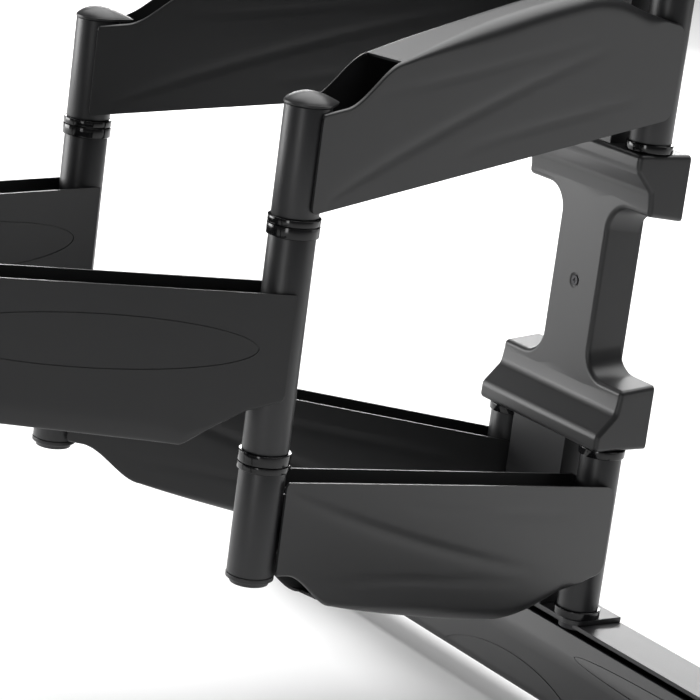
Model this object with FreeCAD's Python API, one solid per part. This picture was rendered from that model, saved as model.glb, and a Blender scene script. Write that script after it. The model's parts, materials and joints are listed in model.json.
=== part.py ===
import FreeCAD, Part
import math
import os
from FreeCAD import Placement, Rotation, Vector

os.makedirs("parts", exist_ok=True)

# Full motion TV wall mount. Millimetres, +Z up. The wall is the plane y = 0 and the arms
# reach out along -Y. The origin is on the wall, midway between the two wall pivots.
# "right" is +X and "left" is -X for a person who stands in the room and faces the wall.

# ---- driving sizes: linkage -------------------------------------------------------------
ARM_LENGTH = 340.0          # pivot to pivot, the same for all six arms
PIVOT_OFFSET = 54.0         # half the distance between the right and left pivots
AXIS_TO_WALL = 30.0         # wall to the wall pivots' axes
RIGHT_ANGLE = 12.0          # right wall arms at rest, from straight out towards +X
LEFT_ANGLE = 18.0           # left wall arms at rest, from straight out towards -X

# ---- driving sizes: barrels, pins and bushes --------------------------------------------
BARREL_R = 15.0
PIN_R = 8.0
BUSH_WALL = 2.0             # a bush, from its pin to its barrel
RUN_GAP = 0.05              # radial running clearance of a pin in a bush
LOOSE_GAP = 0.30            # radial clearance at the pivot that closes the linkage
SEAT_GAP = 0.02             # a bush in its barrel, a pin in its plate
FACE_GAP = 0.30             # axial gap between pieces that turn on each other
RING_LAP = 1.7              # a bush's ring beyond its barrel, all round
WALL_RING_H = 5.8
ARM_RING_H = 4.5            # the wall arm's part of the ring at an elbow
FRONT_RING_H = 7.2          # the front arm's part of that ring
BUSH_SLEEVE = 24.0          # length of a bush inside its barrel
FRONT_BARREL_HALF = 69.0    # front arm barrel, half its height
ELBOW_BARREL_H = 69.0       # wall arm barrel at the elbow
WALL_BARREL_H = 115.0       # wall arm barrel at the wall

# ---- driving sizes: wall frame ----------------------------------------------------------
PLATE_T = 4.0               # back plates and pivot tabs
LUG_T = 6.0                 # lugs that carry the pins
LUG_TOP = 104.0             # outer face of the upper lug above the middle
LUG_EDGE = 12.5             # lug beyond a pivot axis
BOSS_WALL = 3.5             # boss round a wall pin
BOSS_H = 3.3
NUT_H = 5.0                 # pin heads and nuts
NUT_LAP = 4.0               # their radius beyond the pin's
TAB_EDGE = 15.0             # tab beyond a pivot axis
SPINE_HALF = 26.0
COLUMN_SPACE = 6.3          # column's sides to the rings at the wall pivots
COLUMN_DEPTH = 46.0
RAIL_HALF = 330.0
RAIL_H = 68.0
RAIL_LIP = 12.0
RAIL_SHELF = 39.0           # rail's inner flange, a shelf beside the tab
STUD_NEAR = 203.2           # half of 16 inch stud spacing
STUD_FAR = 304.8            # half of 24 inch stud spacing
SLOT_R = 5.0
SLOT_LENGTH = 44.0
CORE_HALF = 20.0
CORE_DEPTH = 20.0
SHEET = 3.0                 # folded steel sheet
SCREW_R = 2.0
SCREW_HEAD_R = 3.6
SCREW_HEAD_H = 1.4
SCREW_SLOT_HALF = 0.35

# ---- driving sizes: plastic covers ------------------------------------------------------
SKIN = 2.2
COVER_GAP = 0.2             # inside of an arm cover to its barrels
COVER_LAP = 3.0             # arm covers beyond the elbow axis
WALL_TRIM = 3.0             # arm covers stop short of the wall axis
WEB_HALF = 27.0
WEB_DEPTH = 34.0
WEB_FILLET = 20.0
HEAD_EDGE = 3.5             # spine cover's wide ends beyond the lugs inside them
HEAD_LIP = 50.0             # wall to the lip of a wide end
HEAD_H = 44.0               # a wide end's height
LIP_H = 12.0
BAND_H = 15.0
BAND_LEAN = 1.5
DIMPLE_R = 12.0
DIMPLE_DEPTH = 1.6
RAIL_COVER_DEPTH = 42.0
RAIL_COVER_R = 9.0
RAIL_COVER_AT = 8.0         # rail cover's edge beyond the rail's inner edge
RAIL_BAND_H = 20.0
RAIL_BAND_LEAN = 4.0

# ---- driving sizes: arms ----------------------------------------------------------------
BEAM_HALF = 9.0             # steel beam in an arm, half its width
BEAM_H = 40.0
CROWN_RISE = 35.0           # cover's crown above the line between its ends
CROWN_AT = 112.0            # from the wall axis
CROWN_SHAPE = ((0.35, 0.42), (0.65, 0.85), (1.0, 1.0), (1.5, 0.97))
MOUTH_LENGTH = 62.0         # open cable mouth, from the elbow axis
MOUTH_RISE = 21.0
MOUTH_SHAPE = ((0.78, 0.62), (0.5, 0.22))
UPPER_TRIM = 20.0           # cover's straight edge from the end of the wall barrel
ELBOW_TRIM = 4.5            # the same at the elbow barrel
TOP_TRIM_WALL = 29.0        # cover's crowned edge from the other end of the wall barrel
TOP_TRIM_ELBOW = 2.5
FRONT_TOP = 35.0            # front arm cover's open edge above the middle
FRONT_END = 33.0            # its height below the middle at a barrel
FRONT_BELLY = 64.0          # its lowest point
BELLY_AT = 58.0             # from the elbow axis
BELLY_FAR = 46.0            # its height below the middle near the screen head
BELLY_STEPS = ((0.35, 7.0), (0.68, 18.0))
OVAL_AT = 118.0             # engraved oval on a front arm, from the elbow axis
OVAL_LONG = 101.0
OVAL_SHORT = 17.0
LINE_W = 0.9
LINE_DEPTH = 0.6
BAR_AT = 40.0               # bars across a cover, from the ends of its closed part
BAR_R = 3.5
CAP_LAP = 0.8               # an elbow's top cap beyond its barrel
CAP_H = 4.0
CAP_DOME = 4.5
CAP_TIP_AT = 24.0           # a top cap's drawn-out tip, from the elbow axis
CAP_TIP_HALF = 8.0
CAP_TIP_H = 2.4
BOTTOM_STEPS = ((0.6, 3.2), (3.0, 6.2))

# ---- driving sizes: screen head ---------------------------------------------------------
HEAD_PLATE_AT = 22.0        # from the head pivots' axes to the head plate
HEAD_LUG_T = 6.0
TILT_AT = 62.0              # from the head pivots' axes to the tilt axis
TILT_REACH = 34.0           # from the tilt axis to the tilt plate
CHEEK_HALF = 60.0           # inner face of the head's cheeks from the middle
CHEEK_GAP = 1.0
CHEEK_ROUND = 24.0
CHEEK_H = 44.0
TILT_BOLT_R = 6.0
GUIDE_R = 4.0
GUIDE_AT = 32.0             # guide bolt above the tilt axis
TILT_DOWN = 15.0            # degrees
TILT_UP = 5.0
TILT_PLATE_HALF = 75.0
TV_RAIL_HALF = 420.0
TV_RAIL_AT = 130.0          # rail's middle above and below the tilt axis
TV_RAIL_H = 50.0
TV_RAIL_DEPTH = 12.0
BRACKET_AT = 200.0          # brackets from the middle, at rest
BRACKET_HALF = 17.0
BRACKET_LONG = 325.0        # half its height
BRACKET_DEPTH = 14.0
BRACKET_GAP = 0.4           # bracket in front of the rails
HOOK_LAP = 14.0             # hook behind a rail
VESA_ROWS = (100.0, 150.0, 200.0, 250.0, 300.0)
VESA_R = 4.2
KNOB_R = 13.0
KNOB_H = 14.0
KNOB_GRIPS = 6
KEY_R = 7.5                 # corner radius of a lock screw's hexagon
KEY_H = 5.3

# ---- worked out -------------------------------------------------------------------------
AXIS_Y = -AXIS_TO_WALL
BARREL_BORE_R = PIN_R + BUSH_WALL
RING_R = BARREL_R + RING_LAP
CAP_R = BARREL_R + CAP_LAP
BOSS_R = PIN_R + BOSS_WALL
COLUMN_HALF = PIVOT_OFFSET - RING_R - COLUMN_SPACE
HEAD_HALF = PIVOT_OFFSET + LUG_EDGE + HEAD_EDGE
COVER_HALF = BARREL_R + COVER_GAP + SKIN
COVER_BACK = PLATE_T + COVER_GAP
FRONT_RING_TOP = FRONT_BARREL_HALF + FRONT_RING_H
ARM_RING_LOW = FRONT_RING_TOP + FACE_GAP
ELBOW_LOW = ARM_RING_LOW + ARM_RING_H
ELBOW_TOP = ELBOW_LOW + ELBOW_BARREL_H
WALL_RING_LOW = LUG_TOP + BOSS_H + FACE_GAP
WALL_LOW = WALL_RING_LOW + WALL_RING_H
WALL_TOP = WALL_LOW + WALL_BARREL_H
BEAM_WALL_Z = (WALL_LOW + UPPER_TRIM + WALL_TOP - TOP_TRIM_WALL) / 2
BEAM_ELBOW_Z = (ELBOW_LOW + ELBOW_TOP) / 2
TAB_LOW = WALL_TOP + WALL_RING_H + FACE_GAP
RAIL_LOW = TAB_LOW + PLATE_T
RAIL_TOP = RAIL_LOW + RAIL_H
HEAD_OUTER = LUG_TOP + BOSS_H - FACE_GAP
HEAD_INNER = HEAD_OUTER - HEAD_H
HEAD_LUG_LOW = FRONT_RING_TOP + FACE_GAP
HEAD_LUG_TOP = HEAD_LUG_LOW + HEAD_LUG_T
RIGHT_TURN = RIGHT_ANGLE - 90.0
LEFT_TURN = -LEFT_ANGLE - 90.0
SIDES = (-1, 1)


def reach(start, turn):
    """The point one arm length from start, in the direction given in degrees."""
    angle = math.radians(turn)
    return (start[0] + ARM_LENGTH * math.cos(angle), start[1] + ARM_LENGTH * math.sin(angle))


RIGHT_WALL = (PIVOT_OFFSET, AXIS_Y)
LEFT_WALL = (-PIVOT_OFFSET, AXIS_Y)
RIGHT_ELBOW = reach(RIGHT_WALL, RIGHT_TURN)
LEFT_ELBOW = reach(LEFT_WALL, LEFT_TURN)
RIGHT_HEAD = reach(RIGHT_ELBOW, LEFT_TURN)
LEFT_HEAD = reach(LEFT_ELBOW, RIGHT_TURN)
HEAD_X = (RIGHT_HEAD[0] + LEFT_HEAD[0]) / 2
HEAD_Y = RIGHT_HEAD[1]
TILT_Y = HEAD_Y - TILT_AT
TILT_PLATE_Y = TILT_Y - TILT_REACH


# ---- small helpers ----------------------------------------------------------------------
def box(x0, x1, y0, y1, z0, z1):
    return Part.makeBox(x1 - x0, y1 - y0, z1 - z0, Vector(x0, y0, z0))


def post(x, y, z0, z1, r):
    """A vertical cylinder from z0 to z1."""
    return Part.makeCylinder(r, z1 - z0, Vector(x, y, z0), Vector(0, 0, 1))


def rod_x(x0, x1, y, z, r):
    return Part.makeCylinder(r, x1 - x0, Vector(x0, y, z), Vector(1, 0, 0))


def rod_y(x, y0, y1, z, r):
    return Part.makeCylinder(r, y1 - y0, Vector(x, y0, z), Vector(0, 1, 0))


def joined(shapes):
    return shapes[0].fuse(shapes[1:]).removeSplitter()


def less(shape, tools):
    return shape.cut(tools).removeSplitter()


def upside_down(shape):
    """The same shape mirrored in the middle plane."""
    return shape.mirror(Vector(0, 0, 0), Vector(0, 0, 1))


def ring_of(points):
    vectors = [Vector(*point) for point in points]
    return Part.makePolygon(vectors + vectors[:1])


def side_prism(wire, half):
    """A wire in the XZ plane, made solid from y = -half to +half."""
    face = Part.Face(wire)
    face.translate(Vector(0, -half, 0))
    return face.extrude(Vector(0, 2 * half, 0))


def cross_prism(points, x0, x1):
    """Points (y, z), made solid from x0 to x1."""
    face = Part.Face(ring_of([(x0, y, z) for y, z in points]))
    return face.extrude(Vector(x1 - x0, 0, 0))


def upright_edges(shape):
    return [edge for edge in shape.Edges if abs(edge.tangentAt(edge.FirstParameter).z) > 0.99]


def set_arm(shape, start, turn):
    """Moves a shape drawn along +X from the origin to its place on the linkage."""
    moved = shape.copy()
    moved.Placement = Placement(Vector(start[0], start[1], 0), Rotation(Vector(0, 0, 1), turn))
    return moved


def slot_y(x, z, y0, y1, length, r):
    """A slot along X, cut through from y0 to y1."""
    run = length / 2 - r
    ends = [rod_y(x + side * run, y0, y1, z, r) for side in SIDES]
    return joined([box(x - run, x + run, y0, y1, z - r, z + r)] + ends)


def save(name, *shapes):
    solids = []
    for shape in shapes:
        solids.extend(shape.Solids)
    whole = solids[0] if len(solids) == 1 else Part.makeCompound(solids)
    whole.exportStep("parts/" + name + ".step")


# ---- bushes and pins --------------------------------------------------------------------
def bush(x, face, inward, ring_h, gap=RUN_GAP):
    """A flanged bush at x on the arm: its ring stands ring_h outside the barrel's face."""
    sleeve_end = face + inward * BUSH_SLEEVE
    ring_end = face - inward * ring_h
    solid = post(x, 0, min(face, sleeve_end), max(face, sleeve_end), BARREL_BORE_R - SEAT_GAP)
    if ring_h > 0:
        solid = joined([solid, post(x, 0, min(face, ring_end), max(face, ring_end), RING_R)])
    low = min(face, sleeve_end, ring_end) - 1
    high = max(face, sleeve_end, ring_end) + 1
    return less(solid, [post(x, 0, low, high, PIN_R + gap)])


def wall_arm_bushes():
    """The four bushes of one upper wall arm."""
    return [bush(0, WALL_LOW, 1, WALL_RING_H),
            bush(0, WALL_TOP, -1, WALL_RING_H),
            bush(ARM_LENGTH, ELBOW_LOW, 1, ARM_RING_H),
            bush(ARM_LENGTH, ELBOW_TOP, -1, 0)]


def front_arm_bushes(gap_at_head):
    """The four bushes of one front arm."""
    bushes = []
    for x, gap in ((0, RUN_GAP), (ARM_LENGTH, gap_at_head)):
        bushes.append(bush(x, FRONT_BARREL_HALF, -1, FRONT_RING_H, gap))
        bushes.append(bush(x, -FRONT_BARREL_HALF, 1, FRONT_RING_H, gap))
    return bushes


def wall_pin(x):
    """Upper wall pivot pin with its flat head on the tab and its nut under the lug."""
    under_lug = LUG_TOP - LUG_T
    shank = post(x, AXIS_Y, under_lug - NUT_H - 1, RAIL_LOW + 1, PIN_R - SEAT_GAP)
    head = post(x, AXIS_Y, RAIL_LOW, RAIL_LOW + NUT_H, PIN_R + NUT_LAP)
    nut = post(x, AXIS_Y, under_lug - NUT_H, under_lug, PIN_R + NUT_LAP)
    return joined([shank, head, nut])


def head_pin(x):
    """Screen head pivot pin, through both lugs, with a flat head and a nut."""
    shank = post(x, HEAD_Y, -HEAD_LUG_TOP - NUT_H, HEAD_LUG_TOP + 1, PIN_R - SEAT_GAP)
    head = post(x, HEAD_Y, HEAD_LUG_TOP, HEAD_LUG_TOP + NUT_H, PIN_R + NUT_LAP)
    nut = post(x, HEAD_Y, -HEAD_LUG_TOP - NUT_H + 1, -HEAD_LUG_TOP, PIN_R + NUT_LAP)
    return joined([shank, head, nut])


# ---- wall frame -------------------------------------------------------------------------
def spine_plate():
    return box(-SPINE_HALF, SPINE_HALF, -PLATE_T, 0, -RAIL_LOW, RAIL_LOW)


def core_channel():
    """Channel behind the spine cover's web, open towards the wall, with the screw's hole."""
    z = LUG_TOP - LUG_T
    front = -PLATE_T - CORE_DEPTH
    outer = box(-CORE_HALF, CORE_HALF, front, -PLATE_T, -z, z)
    inner = box(-CORE_HALF + SHEET, CORE_HALF - SHEET, front + SHEET, 0, -z - 1, z + 1)
    return less(outer, [inner, rod_y(0, front - 1, front + SHEET + 1, 0, SCREW_R)])


def lug_plate():
    """Upper lug with a boss and a hole for each wall pin."""
    half = PIVOT_OFFSET + LUG_EDGE
    parts = [box(-half, half, AXIS_Y - LUG_EDGE, -PLATE_T, LUG_TOP - LUG_T, LUG_TOP)]
    holes = []
    for side in SIDES:
        parts.append(post(side * PIVOT_OFFSET, AXIS_Y, LUG_TOP - 1, LUG_TOP + BOSS_H, BOSS_R))
        holes.append(post(side * PIVOT_OFFSET, AXIS_Y, 0, WALL_TOP, PIN_R))
    return less(joined(parts), holes)


def column():
    """Folded steel column between the upper lug and the top tab, open towards the wall."""
    outer = box(-COLUMN_HALF, COLUMN_HALF, -COLUMN_DEPTH, -PLATE_T, LUG_TOP, TAB_LOW)
    inner = box(-COLUMN_HALF + SHEET, COLUMN_HALF - SHEET, -COLUMN_DEPTH + SHEET, 0,
                LUG_TOP - 1, TAB_LOW + 1)
    return less(outer, [inner])


def pivot_tab():
    """Top tab: a flat plate at the rail that carries the outer ends of the wall pins."""
    half = PIVOT_OFFSET + TAB_EDGE
    plate = box(-half, half, AXIS_Y - TAB_EDGE, 0, TAB_LOW, RAIL_LOW)
    front = [edge for edge in upright_edges(plate) if edge.CenterOfMass.y < AXIS_Y]
    plate = plate.makeFillet(TAB_EDGE * 0.8, front)
    tools = [post(side * PIVOT_OFFSET, AXIS_Y, 0, RAIL_TOP, PIN_R) for side in SIDES]
    tools.append(box(-SPINE_HALF, SPINE_HALF, -PLATE_T, 1, 0, RAIL_TOP))
    return less(plate, tools)


def rail():
    """Top rail: slotted wall plate with a deep shelf along its inner edge and a lip along its outer edge."""
    plate = box(-RAIL_HALF, RAIL_HALF, -PLATE_T, 0, RAIL_LOW, RAIL_TOP)
    shelf = box(-RAIL_HALF, RAIL_HALF, -RAIL_SHELF, 0, RAIL_LOW, RAIL_LOW + SHEET)
    lip = box(-RAIL_HALF, RAIL_HALF, -RAIL_LIP, 0, RAIL_TOP - SHEET, RAIL_TOP)
    middle = (RAIL_LOW + RAIL_TOP) / 2
    holes = []
    for at in (-STUD_FAR, -STUD_NEAR, STUD_NEAR, STUD_FAR):
        holes.append(slot_y(at, middle, -PLATE_T - 1, 1, SLOT_LENGTH, SLOT_R))
    for side in SIDES:
        radius = PIN_R + NUT_LAP + LOOSE_GAP
        holes.append(post(side * PIVOT_OFFSET, AXIS_Y, RAIL_LOW - 1, RAIL_LOW + SHEET + 1, radius))
    return less(joined([plate, shelf, lip]), holes)


def rail_cover_block(skin, back, edge, x0, x1):
    """Rail cover's outer form, drawn skin inside its surface, from x0 to x1."""
    front = -RAIL_COVER_DEPTH + skin
    outer = RAIL_TOP + FACE_GAP + SKIN - skin
    band = RAIL_LOW + RAIL_COVER_AT + RAIL_BAND_H
    lean = front + RAIL_BAND_LEAN * (band - edge) / RAIL_BAND_H
    block = cross_prism([(back, edge), (lean, edge), (front, band), (front, outer), (back, outer)], x0, x1)
    corner = [item for item in block.Edges
              if abs(item.CenterOfMass.y - front) < 0.01 and abs(item.CenterOfMass.z - outer) < 0.01]
    return block.makeFillet(RAIL_COVER_R - skin, corner)


def rail_cover():
    """Top rail cover: a bent shell with a leaning band, clipped over the rail's front."""
    edge = RAIL_LOW + RAIL_COVER_AT
    shell = rail_cover_block(0, -COVER_BACK, edge, -RAIL_HALF, RAIL_HALF)
    hollow = rail_cover_block(SKIN, 1, edge - 1, -RAIL_HALF - 1, RAIL_HALF + 1)
    return less(shell, [hollow])


def rail_cap(side):
    """End cap of the top rail cover."""
    near, far = side * RAIL_HALF, side * (RAIL_HALF + SHEET)
    edge = RAIL_LOW + RAIL_COVER_AT
    return rail_cover_block(0, -COVER_BACK, edge, min(near, far), max(near, far))


# ---- spine cover ------------------------------------------------------------------------
def spine_cover_web(skin, back):
    """Spine cover's I outline with round inner corners, drawn skin inside its surface."""
    web = WEB_HALF - skin
    inner = HEAD_INNER + skin
    half = HEAD_HALF - skin
    front = -WEB_DEPTH + skin
    solid = box(-web, web, front, back, -inner - 1, inner + 1)
    radius = WEB_FILLET + skin
    parts = [solid]
    for across in SIDES:
        for up in SIDES:
            x0, x1 = sorted((across * (web - 1), across * (web + radius)))
            z0, z1 = sorted((up * (inner - radius), up * (inner + 1)))
            corner = box(x0, x1, front, back, z0, z1)
            round_x, round_z = across * (web + radius), up * (inner - radius)
            parts.append(corner.cut(rod_y(round_x, front - 1, back + 1, round_z, radius)))
    for up in SIDES:
        z0, z1 = sorted((up * inner, up * (HEAD_OUTER - skin)))
        parts.append(box(-half, half, front, back, z0, z1))
    return joined(parts)


def spine_cover_lip(skin, back):
    """The upper wide end's flare: a leaning face, a steep band and an upright lip."""
    face = -WEB_DEPTH + skin
    outer = HEAD_OUTER - skin
    lip = HEAD_OUTER - LIP_H + skin / 2
    points = [(back, HEAD_INNER + skin), (face, HEAD_INNER + skin),
              (face - BAND_LEAN, HEAD_OUTER - LIP_H - BAND_H + skin / 2),
              (-HEAD_LIP + skin, lip), (-HEAD_LIP + skin, outer), (back, outer)]
    return cross_prism(points, -HEAD_HALF + skin, HEAD_HALF - skin)


def spine_cover():
    """One plastic shell over the spine, open towards the wall."""
    lip = spine_cover_lip(0, -COVER_BACK)
    shell = joined([spine_cover_web(0, -COVER_BACK), lip, upside_down(lip)])
    hollow_lip = spine_cover_lip(SKIN, 1)
    tools = [joined([spine_cover_web(SKIN, 1), hollow_lip, upside_down(hollow_lip)])]
    for up in SIDES:
        for side in SIDES:
            z0, z1 = sorted((up * (HEAD_INNER + SKIN), up * (HEAD_OUTER + 1)))
            tools.append(post(side * PIVOT_OFFSET, AXIS_Y, z0, z1, BOSS_R + FACE_GAP))
        z0, z1 = sorted((up * (HEAD_OUTER - SKIN - 1), up * (HEAD_OUTER + 1)))
        half = COLUMN_HALF + FACE_GAP
        tools.append(box(-half, half, -COLUMN_DEPTH - FACE_GAP, 1, z0, z1))
    tools.append(rod_y(0, -WEB_DEPTH - 1, -WEB_DEPTH + SKIN + 1, 0, SCREW_R + FACE_GAP))
    tools.append(Part.makeSphere(DIMPLE_R, Vector(0, -WEB_DEPTH - DIMPLE_R + DIMPLE_DEPTH, 0)))
    seat = -WEB_DEPTH + DIMPLE_DEPTH
    tools.append(rod_y(0, seat - SCREW_HEAD_H, seat, 0, SCREW_HEAD_R + COVER_GAP))
    return less(shell, tools)


def cover_screw():
    """Pan head screw through the spine cover into the core channel."""
    seat = -WEB_DEPTH + DIMPLE_DEPTH
    shank_end = -PLATE_T - CORE_DEPTH + SHEET + 2
    head = rod_y(0, seat - SCREW_HEAD_H, seat, 0, SCREW_HEAD_R)
    shank = rod_y(0, seat - SCREW_HEAD_H / 2, shank_end, 0, SCREW_R - SEAT_GAP)
    long, wide, deep = SCREW_HEAD_R / 2, SCREW_SLOT_HALF, seat - SCREW_HEAD_H / 2
    recess = [box(-x, x, deep - SCREW_HEAD_H, deep, -z, z) for x, z in ((long, wide), (wide, long))]
    return less(joined([head, shank]), recess)


# ---- arms, drawn along +X from the axis nearer the wall -----------------------------------
def chord(x, at_wall, at_elbow):
    """Height at x on the straight line from a wall axis to an elbow axis."""
    return at_wall + (at_elbow - at_wall) * x / ARM_LENGTH


def wall_beam():
    """Upper wall arm: two barrels and the folded beam between them, open underneath."""
    half = BEAM_H / 2
    points = [(0, 0, BEAM_WALL_Z - half), (ARM_LENGTH, 0, BEAM_ELBOW_Z - half),
              (ARM_LENGTH, 0, BEAM_ELBOW_Z + half), (0, 0, BEAM_WALL_Z + half)]
    beam = side_prism(ring_of(points), BEAM_HALF)
    hollow = side_prism(ring_of(points), BEAM_HALF - SHEET)
    hollow.translate(Vector(0, 0, -SHEET))
    barrels = [post(0, 0, WALL_LOW, WALL_TOP, BARREL_R),
               post(ARM_LENGTH, 0, ELBOW_LOW, ELBOW_TOP, BARREL_R)]
    bores = [post(0, 0, 0, RAIL_TOP, BARREL_BORE_R), post(ARM_LENGTH, 0, 0, RAIL_TOP, BARREL_BORE_R)]
    return less(joined([beam.cut(hollow)] + barrels), bores)


def crown_wire(drop):
    """Side outline (XZ) of an upper arm cover, with its crowned edge lowered by drop."""
    low_wall, low_elbow = WALL_LOW + UPPER_TRIM, ELBOW_LOW + ELBOW_TRIM
    top_wall, top_elbow = WALL_TOP - TOP_TRIM_WALL, ELBOW_TOP - TOP_TRIM_ELBOW
    start, end = WALL_TRIM, ARM_LENGTH + COVER_LAP
    rises = [(CROWN_AT * along, CROWN_RISE * up) for along, up in CROWN_SHAPE]
    rises = [(start, 0)] + rises + [(ARM_LENGTH - MOUTH_LENGTH, MOUTH_RISE)]
    crown = [Vector(x, 0, chord(x, top_wall, top_elbow) + rise - drop) for x, rise in rises]
    swoop = [crown[-1]]
    for along, up in MOUTH_SHAPE:
        swoop.append(Vector(ARM_LENGTH - MOUTH_LENGTH * along, 0, top_elbow + MOUTH_RISE * up - drop))
    swoop.append(Vector(ARM_LENGTH - COVER_HALF, 0, top_elbow - drop))
    crown_curve = Part.BSplineCurve()
    crown_curve.interpolate(crown)
    swoop_curve = Part.BSplineCurve()
    swoop_curve.interpolate(swoop)
    corners = [swoop[-1], Vector(end, 0, top_elbow - drop), Vector(end, 0, low_elbow),
               Vector(start, 0, low_wall), crown[0]]
    lines = [Part.makeLine(a, b) for a, b in zip(corners, corners[1:])]
    return Part.Wire([crown_curve.toShape(), swoop_curve.toShape()] + lines)


def wall_arm_cover():
    """Upper arm cover: two side walls and a crowned top, open underneath and at its mouth."""
    shell = side_prism(crown_wire(0), COVER_HALF)
    inner = COVER_HALF - SKIN
    hollow = side_prism(crown_wire(SKIN), inner)
    below = box(-1, ARM_LENGTH + COVER_HALF, -inner, inner, 0, ELBOW_LOW + ELBOW_TRIM)
    wedge = side_prism(ring_of([(-1, 0, 0), (ARM_LENGTH + COVER_HALF, 0, 0),
                                (ARM_LENGTH + COVER_HALF, 0, ELBOW_TOP - TOP_TRIM_ELBOW - SKIN),
                                (-1, 0, WALL_TOP - TOP_TRIM_WALL - SKIN)]), inner)
    mouth = box(ARM_LENGTH - MOUTH_LENGTH, ARM_LENGTH + COVER_HALF, -inner, inner, 0, RAIL_TOP)
    wall_end = post(0, 0, 0, RAIL_TOP, BARREL_R + COVER_GAP)
    return joined([less(shell, [hollow, below, wedge, mouth, wall_end])] + cover_bars())


def cover_bars():
    """Two bars across the cover that rest on the beam's sloping top."""
    slope = math.atan((BEAM_ELBOW_Z - BEAM_WALL_Z) / ARM_LENGTH)
    bars = []
    for x in (BAR_AT, ARM_LENGTH - MOUTH_LENGTH - BAR_AT):
        top = chord(x, BEAM_WALL_Z, BEAM_ELBOW_Z) + BEAM_H / 2
        bars.append(rod_y(x, -COVER_HALF + 1, COVER_HALF - 1, top + BAR_R / math.cos(slope), BAR_R))
    return bars


def front_beam():
    """Front arm: two barrels and a straight folded beam, open on top."""
    half = BEAM_H / 2
    beam = box(0, ARM_LENGTH, -BEAM_HALF, BEAM_HALF, -half, half)
    hollow = box(-1, ARM_LENGTH + 1, -BEAM_HALF + SHEET, BEAM_HALF - SHEET, -half + SHEET, half + 1)
    ends = (0, ARM_LENGTH)
    barrels = [post(x, 0, -FRONT_BARREL_HALF, FRONT_BARREL_HALF, BARREL_R) for x in ends]
    bores = [post(x, 0, -RAIL_TOP, RAIL_TOP, BARREL_BORE_R) for x in ends]
    return less(joined([beam.cut(hollow)] + barrels), bores)


def oval_line(depth_from, depth_to):
    """A thin oval wall for engraving, across the arm from depth_from to depth_to."""
    solids = []
    for grow in (LINE_W / 2, -LINE_W / 2):
        oval = Part.Ellipse(Vector(0, 0, 0), OVAL_LONG + grow, OVAL_SHORT + grow)
        face = Part.Face(Part.Wire([oval.toShape()]))
        face.rotate(Vector(0, 0, 0), Vector(1, 0, 0), 90)
        face.translate(Vector(OVAL_AT, depth_from, 0))
        solids.append(face.extrude(Vector(0, depth_to - depth_from, 0)))
    return solids[0].cut(solids[1])


def front_arm_cover():
    """Front arm cover: two engraved side walls and a floor, open on top and at its ends."""
    start, end = -COVER_LAP, ARM_LENGTH + COVER_LAP
    floor = [(BELLY_AT * along, -FRONT_END - down) for along, down in BELLY_STEPS]
    floor += [(BELLY_AT, -FRONT_BELLY), (ARM_LENGTH - BELLY_AT / 2, -BELLY_FAR)]
    points = [(start, 0, FRONT_TOP), (start, 0, -FRONT_END)]
    points += [(x, 0, z) for x, z in floor]
    points += [(end, 0, -FRONT_END), (end, 0, FRONT_TOP)]
    shell = side_prism(ring_of(points), COVER_HALF)
    inner = COVER_HALF - SKIN
    hollow = side_prism(ring_of(points), inner)
    hollow.translate(Vector(0, 0, SKIN))
    clear = BARREL_R + COVER_HALF
    tools = [hollow]
    for x0, x1 in ((start - 1, clear), (ARM_LENGTH - clear, end + 1)):
        tools.append(box(x0, x1, -inner, inner, -FRONT_BARREL_HALF, FRONT_BARREL_HALF))
    for side in SIDES:
        tools.append(oval_line(side * (COVER_HALF - LINE_DEPTH), side * (COVER_HALF + 1)))
    bars = [rod_y(x, -COVER_HALF + 1, COVER_HALF - 1, -BEAM_H / 2 - BAR_R, BAR_R)
            for x in (BELLY_AT, ARM_LENGTH - BELLY_AT)]
    return joined([less(shell, tools)] + bars)


def top_cap():
    """Domed cap on the upper elbow barrel, drawn out to a point along the arm."""
    base = ELBOW_TOP
    disc = post(ARM_LENGTH, 0, base, base + CAP_H, CAP_R)
    slant = math.radians(75)
    root_at, root_half = ARM_LENGTH - CAP_R * math.cos(slant), CAP_R * math.sin(slant)
    tip_at = ARM_LENGTH - CAP_TIP_AT
    face = Part.Face(ring_of([(tip_at, -CAP_TIP_HALF, base), (root_at, -root_half, base),
                              (root_at, root_half, base), (tip_at, CAP_TIP_HALF, base)]))
    tail = face.extrude(Vector(0, 0, CAP_TIP_H))
    radius = (CAP_R ** 2 + CAP_DOME ** 2) / (2 * CAP_DOME)
    ball = Part.makeSphere(radius, Vector(ARM_LENGTH, 0, base + CAP_H + CAP_DOME - radius))
    dome = ball.common(post(ARM_LENGTH, 0, base + CAP_H, base + CAP_H + CAP_DOME, CAP_R))
    return joined([disc, tail, dome])


def bottom_cap():
    """Two-step cap under the lower elbow barrel."""
    return joined([post(ARM_LENGTH, 0, -ELBOW_TOP - height, -ELBOW_TOP, BARREL_R - inset)
                   for inset, height in BOTTOM_STEPS])


def elbow_shaft(at):
    end = ELBOW_TOP - FACE_GAP
    return post(at[0], at[1], -end, end, PIN_R)


def save_wall_arm(side, start, turn):
    """Writes the nodes of one side's upper and lower wall arms."""
    beam, cover = wall_beam(), wall_arm_cover()
    bushes = wall_arm_bushes()
    save(side + "_upper_arm_beam", set_arm(beam, start, turn))
    save(side + "_lower_arm_beam", set_arm(upside_down(beam), start, turn))
    save(side + "_upper_arm_cover", set_arm(cover, start, turn))
    save(side + "_lower_arm_cover", set_arm(upside_down(cover), start, turn))
    save(side + "_upper_arm_bushes", *[set_arm(item, start, turn) for item in bushes])
    save(side + "_lower_arm_bushes", *[set_arm(upside_down(item), start, turn) for item in bushes])
    save(side + "_top_cap", set_arm(top_cap(), start, turn))
    save(side + "_bottom_cap", set_arm(bottom_cap(), start, turn))


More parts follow.
